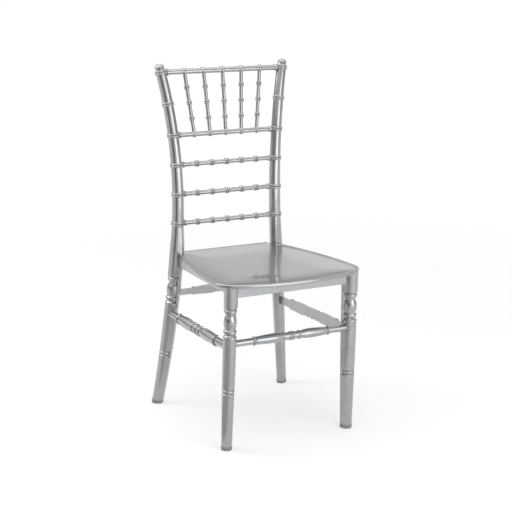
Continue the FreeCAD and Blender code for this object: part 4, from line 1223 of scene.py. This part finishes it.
class CHAIR_OT_stage(BuildStep, bpy.types.Operator):
    """Set up the camera, the pale floor, the lamps and the white background"""
    bl_idname = "chair.stage"
    bl_label = "Stage"

    # Name, place, aim, width, height, power
    LAMPS = (
        ("soft_box_front", (0.43, -1.85, 0.82), (0, 0, 0.82), 1.46, 1.2, 14),
        ("soft_box_back", (-1.35, 0.78, 1.6), (0, 0, 0.1), 0.9, 0.9, 9),
        ("soft_box_top", (-0.3, -0.2, 2.9), (0, 0, 0.4), 3, 3, 32),
    )
    # The dark cards stand where the studio is only dark and are seen in reflections alone:
    # painted shade in the gloss of the plastic
    # Name, tone, bearing from the front in degrees, distance, lowest, highest, width
    CARDS = (
        ("card_left", "2A2A2A", 60.8, 1.9, 0.0, 0.9, 1.05),
        ("card_over_lamp", "2A2A2A", -10, 2.4, 1.95, 3.1, 3.6),
    )

    def add_camera(self, scene):
        stage = scene.chair_stage
        camera = bpy.data.cameras.new("camera")
        camera.sensor_width = SENSOR
        camera.lens = stage.focal * SENSOR / FRAME_PIXELS
        camera.clip_end = 200
        thing = new_object("camera", camera)
        thing.matrix_world = (Matrix.Translation(stage.camera_place)
                              @ Matrix.Rotation(stage.azimuth, 4, "Z")
                              @ Matrix.Rotation(pi / 2 - stage.elevation, 4, "X")
                              @ Matrix.Rotation(stage.roll, 4, "Z"))
        scene.camera = thing

    def add_floor(self):
        material, tree = new_material("white_paper_floor")
        paint = add_node(tree, "BsdfDiffuse", {"Color": (*linear("C0C0C0"), 1)})
        place = add_node(tree, "TexCoord").outputs["Object"]
        far = add_node(tree, "VectorMath", {"operation": "LENGTH", 0: place}).outputs["Value"]
        # The lamps reach less far than the paper, which stays white all the way back
        fill = spread(tree, far, 0.56, 0.78, 0.3, 4.5, "SMOOTHSTEP")
        seen = lit_for_view(tree, "Is Glossy Ray", "Is Transmission Ray")
        strength = add_node(tree, "Math", {"operation": "MULTIPLY", 0: seen, 1: fill})
        glow = add_node(tree, "Emission", {"Color": (1, 1, 1, 1),
                                           "Strength": strength.outputs["Value"]})
        add_surface(tree, "AddShader", {0: paint.outputs["BSDF"], 1: glow.outputs["Emission"]})
        self.add_card("floor", (0, 0, 0), (0, 0, 1), 80, 80, material)

    def add_card(self, name, place, facing, width, height, material):
        bm = bmesh.new()
        bmesh.ops.create_grid(bm, x_segments=1, y_segments=1, size=0.5)
        bmesh.ops.scale(bm, vec=(width, height, 1), verts=bm.verts)
        turn = Vector(facing).to_track_quat("Z", "Y").to_matrix().to_4x4()
        bmesh.ops.transform(bm, matrix=Matrix.Translation(Vector(place)) @ turn,
                            verts=bm.verts)
        mesh = bpy.data.meshes.new(name)
        bm.to_mesh(mesh)
        bm.free()
        mesh.materials.append(material)
        card = new_object(name, mesh)
        card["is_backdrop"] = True
        return card

    def add_world(self, scene):
        world = bpy.data.worlds.new("studio")
        world.use_nodes = True
        tree = world.node_tree
        tree.nodes.clear()
        way = add_node(tree, "TexCoord").outputs["Generated"]
        rise = add_node(tree, "SeparateXYZ", {"Vector": way}).outputs["Z"]
        in_gloss = add_node(tree, "LightPath").outputs["Is Glossy Ray"]
        # The studio is dimmer low down, which gives the dished seat its shade
        wall = spread(tree, rise, 0.25, 1.0, 0.08, 0.3, "SMOOTHSTEP")
        wall = spread(tree, in_gloss, 0.45, wall)
        strength = spread(tree, lit_for_view(tree, "Is Transmission Ray"), wall, 1.0)
        light = add_node(tree, "Background", {"Color": (1, 1, 1, 1), "Strength": strength})
        add_node(tree, "OutputWorld", {"Surface": light.outputs["Background"]})
        scene.world = world

    def add_cards(self):
        """Cards beside the camera and on the floor, seen only in the gloss of the plastic, where
        they paint shade into its reflections.
        """
        for name, tone, bearing, far, low, high, width in self.CARDS:
            turn = radians(bearing)
            away = Vector((-sin(turn), -cos(turn), 0))
            place = away * far + Vector((0, 0, (low + high) / 2))
            self.hide_from_view(
                self.add_card(name, place, -away, width, high - low, self.shade_card_paint(tone)))
        # This grey card lies on the white floor and is seen only in reflections: painted shade on
        # the lower legs
        self.hide_from_view(self.add_card("floor_shade_card", (-0.95, -0.5, 2 * MM), (0, 0, 1),
                                          1.4, 1.2, self.shade_card_paint("D6D6D6")))

    def shade_card_paint(self, tone):
        # Flat card paint, seen only in reflections, as painted shade in the gloss of the plastic
        material, tree = new_material("reflected_shade_card_" + tone)
        add_surface(tree, "BsdfDiffuse", {"Color": (*linear(tone), 1)})
        return material

    def hide_from_view(self, card):
        for ray in ("camera", "diffuse", "shadow", "transmission"):
            setattr(card, "visible_" + ray, False)

    def build(self, scene):
        self.add_camera(scene)
        self.add_floor()
        self.add_world(scene)
        self.add_cards()
        for settings in self.LAMPS:
            lamp(*settings)
        scene.view_settings.view_transform = "Standard"


class CHAIR_PT_panel(bpy.types.Panel):
    """Lists the pieces of the chair and their sizes"""
    bl_idname = "CHAIR_PT_panel"
    bl_label = "Silver chiavari chair"
    bl_space_type = "VIEW_3D"
    bl_region_type = "UI"
    bl_category = "Chair"

    def draw(self, context):
        for step in BUILD_STEPS:
            self.layout.operator(step.bl_idname)
        for name, group in SETTINGS.items():
            settings = getattr(context.scene, name)
            box = self.layout.box()
            for key in group.__annotations__:
                box.prop(settings, key)


BUILD_STEPS = (
    CHAIR_OT_posts,
    CHAIR_OT_finials,
    CHAIR_OT_rails,
    CHAIR_OT_spindles,
    CHAIR_OT_legs,
    CHAIR_OT_glides,
    CHAIR_OT_stretchers,
    CHAIR_OT_seat,
    CHAIR_OT_under_frame,
    CHAIR_OT_stage,
)


def register():
    for group in SETTINGS.values():
        for name, note in group.__annotations__.items():
            note.keywords["name"] = name.replace("_", " ").capitalize()
    for kind in (*SETTINGS.values(), *BUILD_STEPS, CHAIR_PT_panel):
        bpy.utils.register_class(kind)
    for name, group in SETTINGS.items():
        setattr(bpy.types.Scene, name, bpy.props.PointerProperty(type=group))


def unregister():
    for name in SETTINGS:
        delattr(bpy.types.Scene, name)
    for kind in reversed((*SETTINGS.values(), *BUILD_STEPS, CHAIR_PT_panel)):
        bpy.utils.unregister_class(kind)


def main():
    register()
    for step in BUILD_STEPS:
        family, name = step.bl_idname.split(".")
        getattr(getattr(bpy.ops, family), name)()
    {"cad": plain(CAD_BOX), "visual": plain(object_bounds())}


def plain(box):
    return [[float(number) for number in corner] for corner in box]


if __name__ == "__main__":
    main()
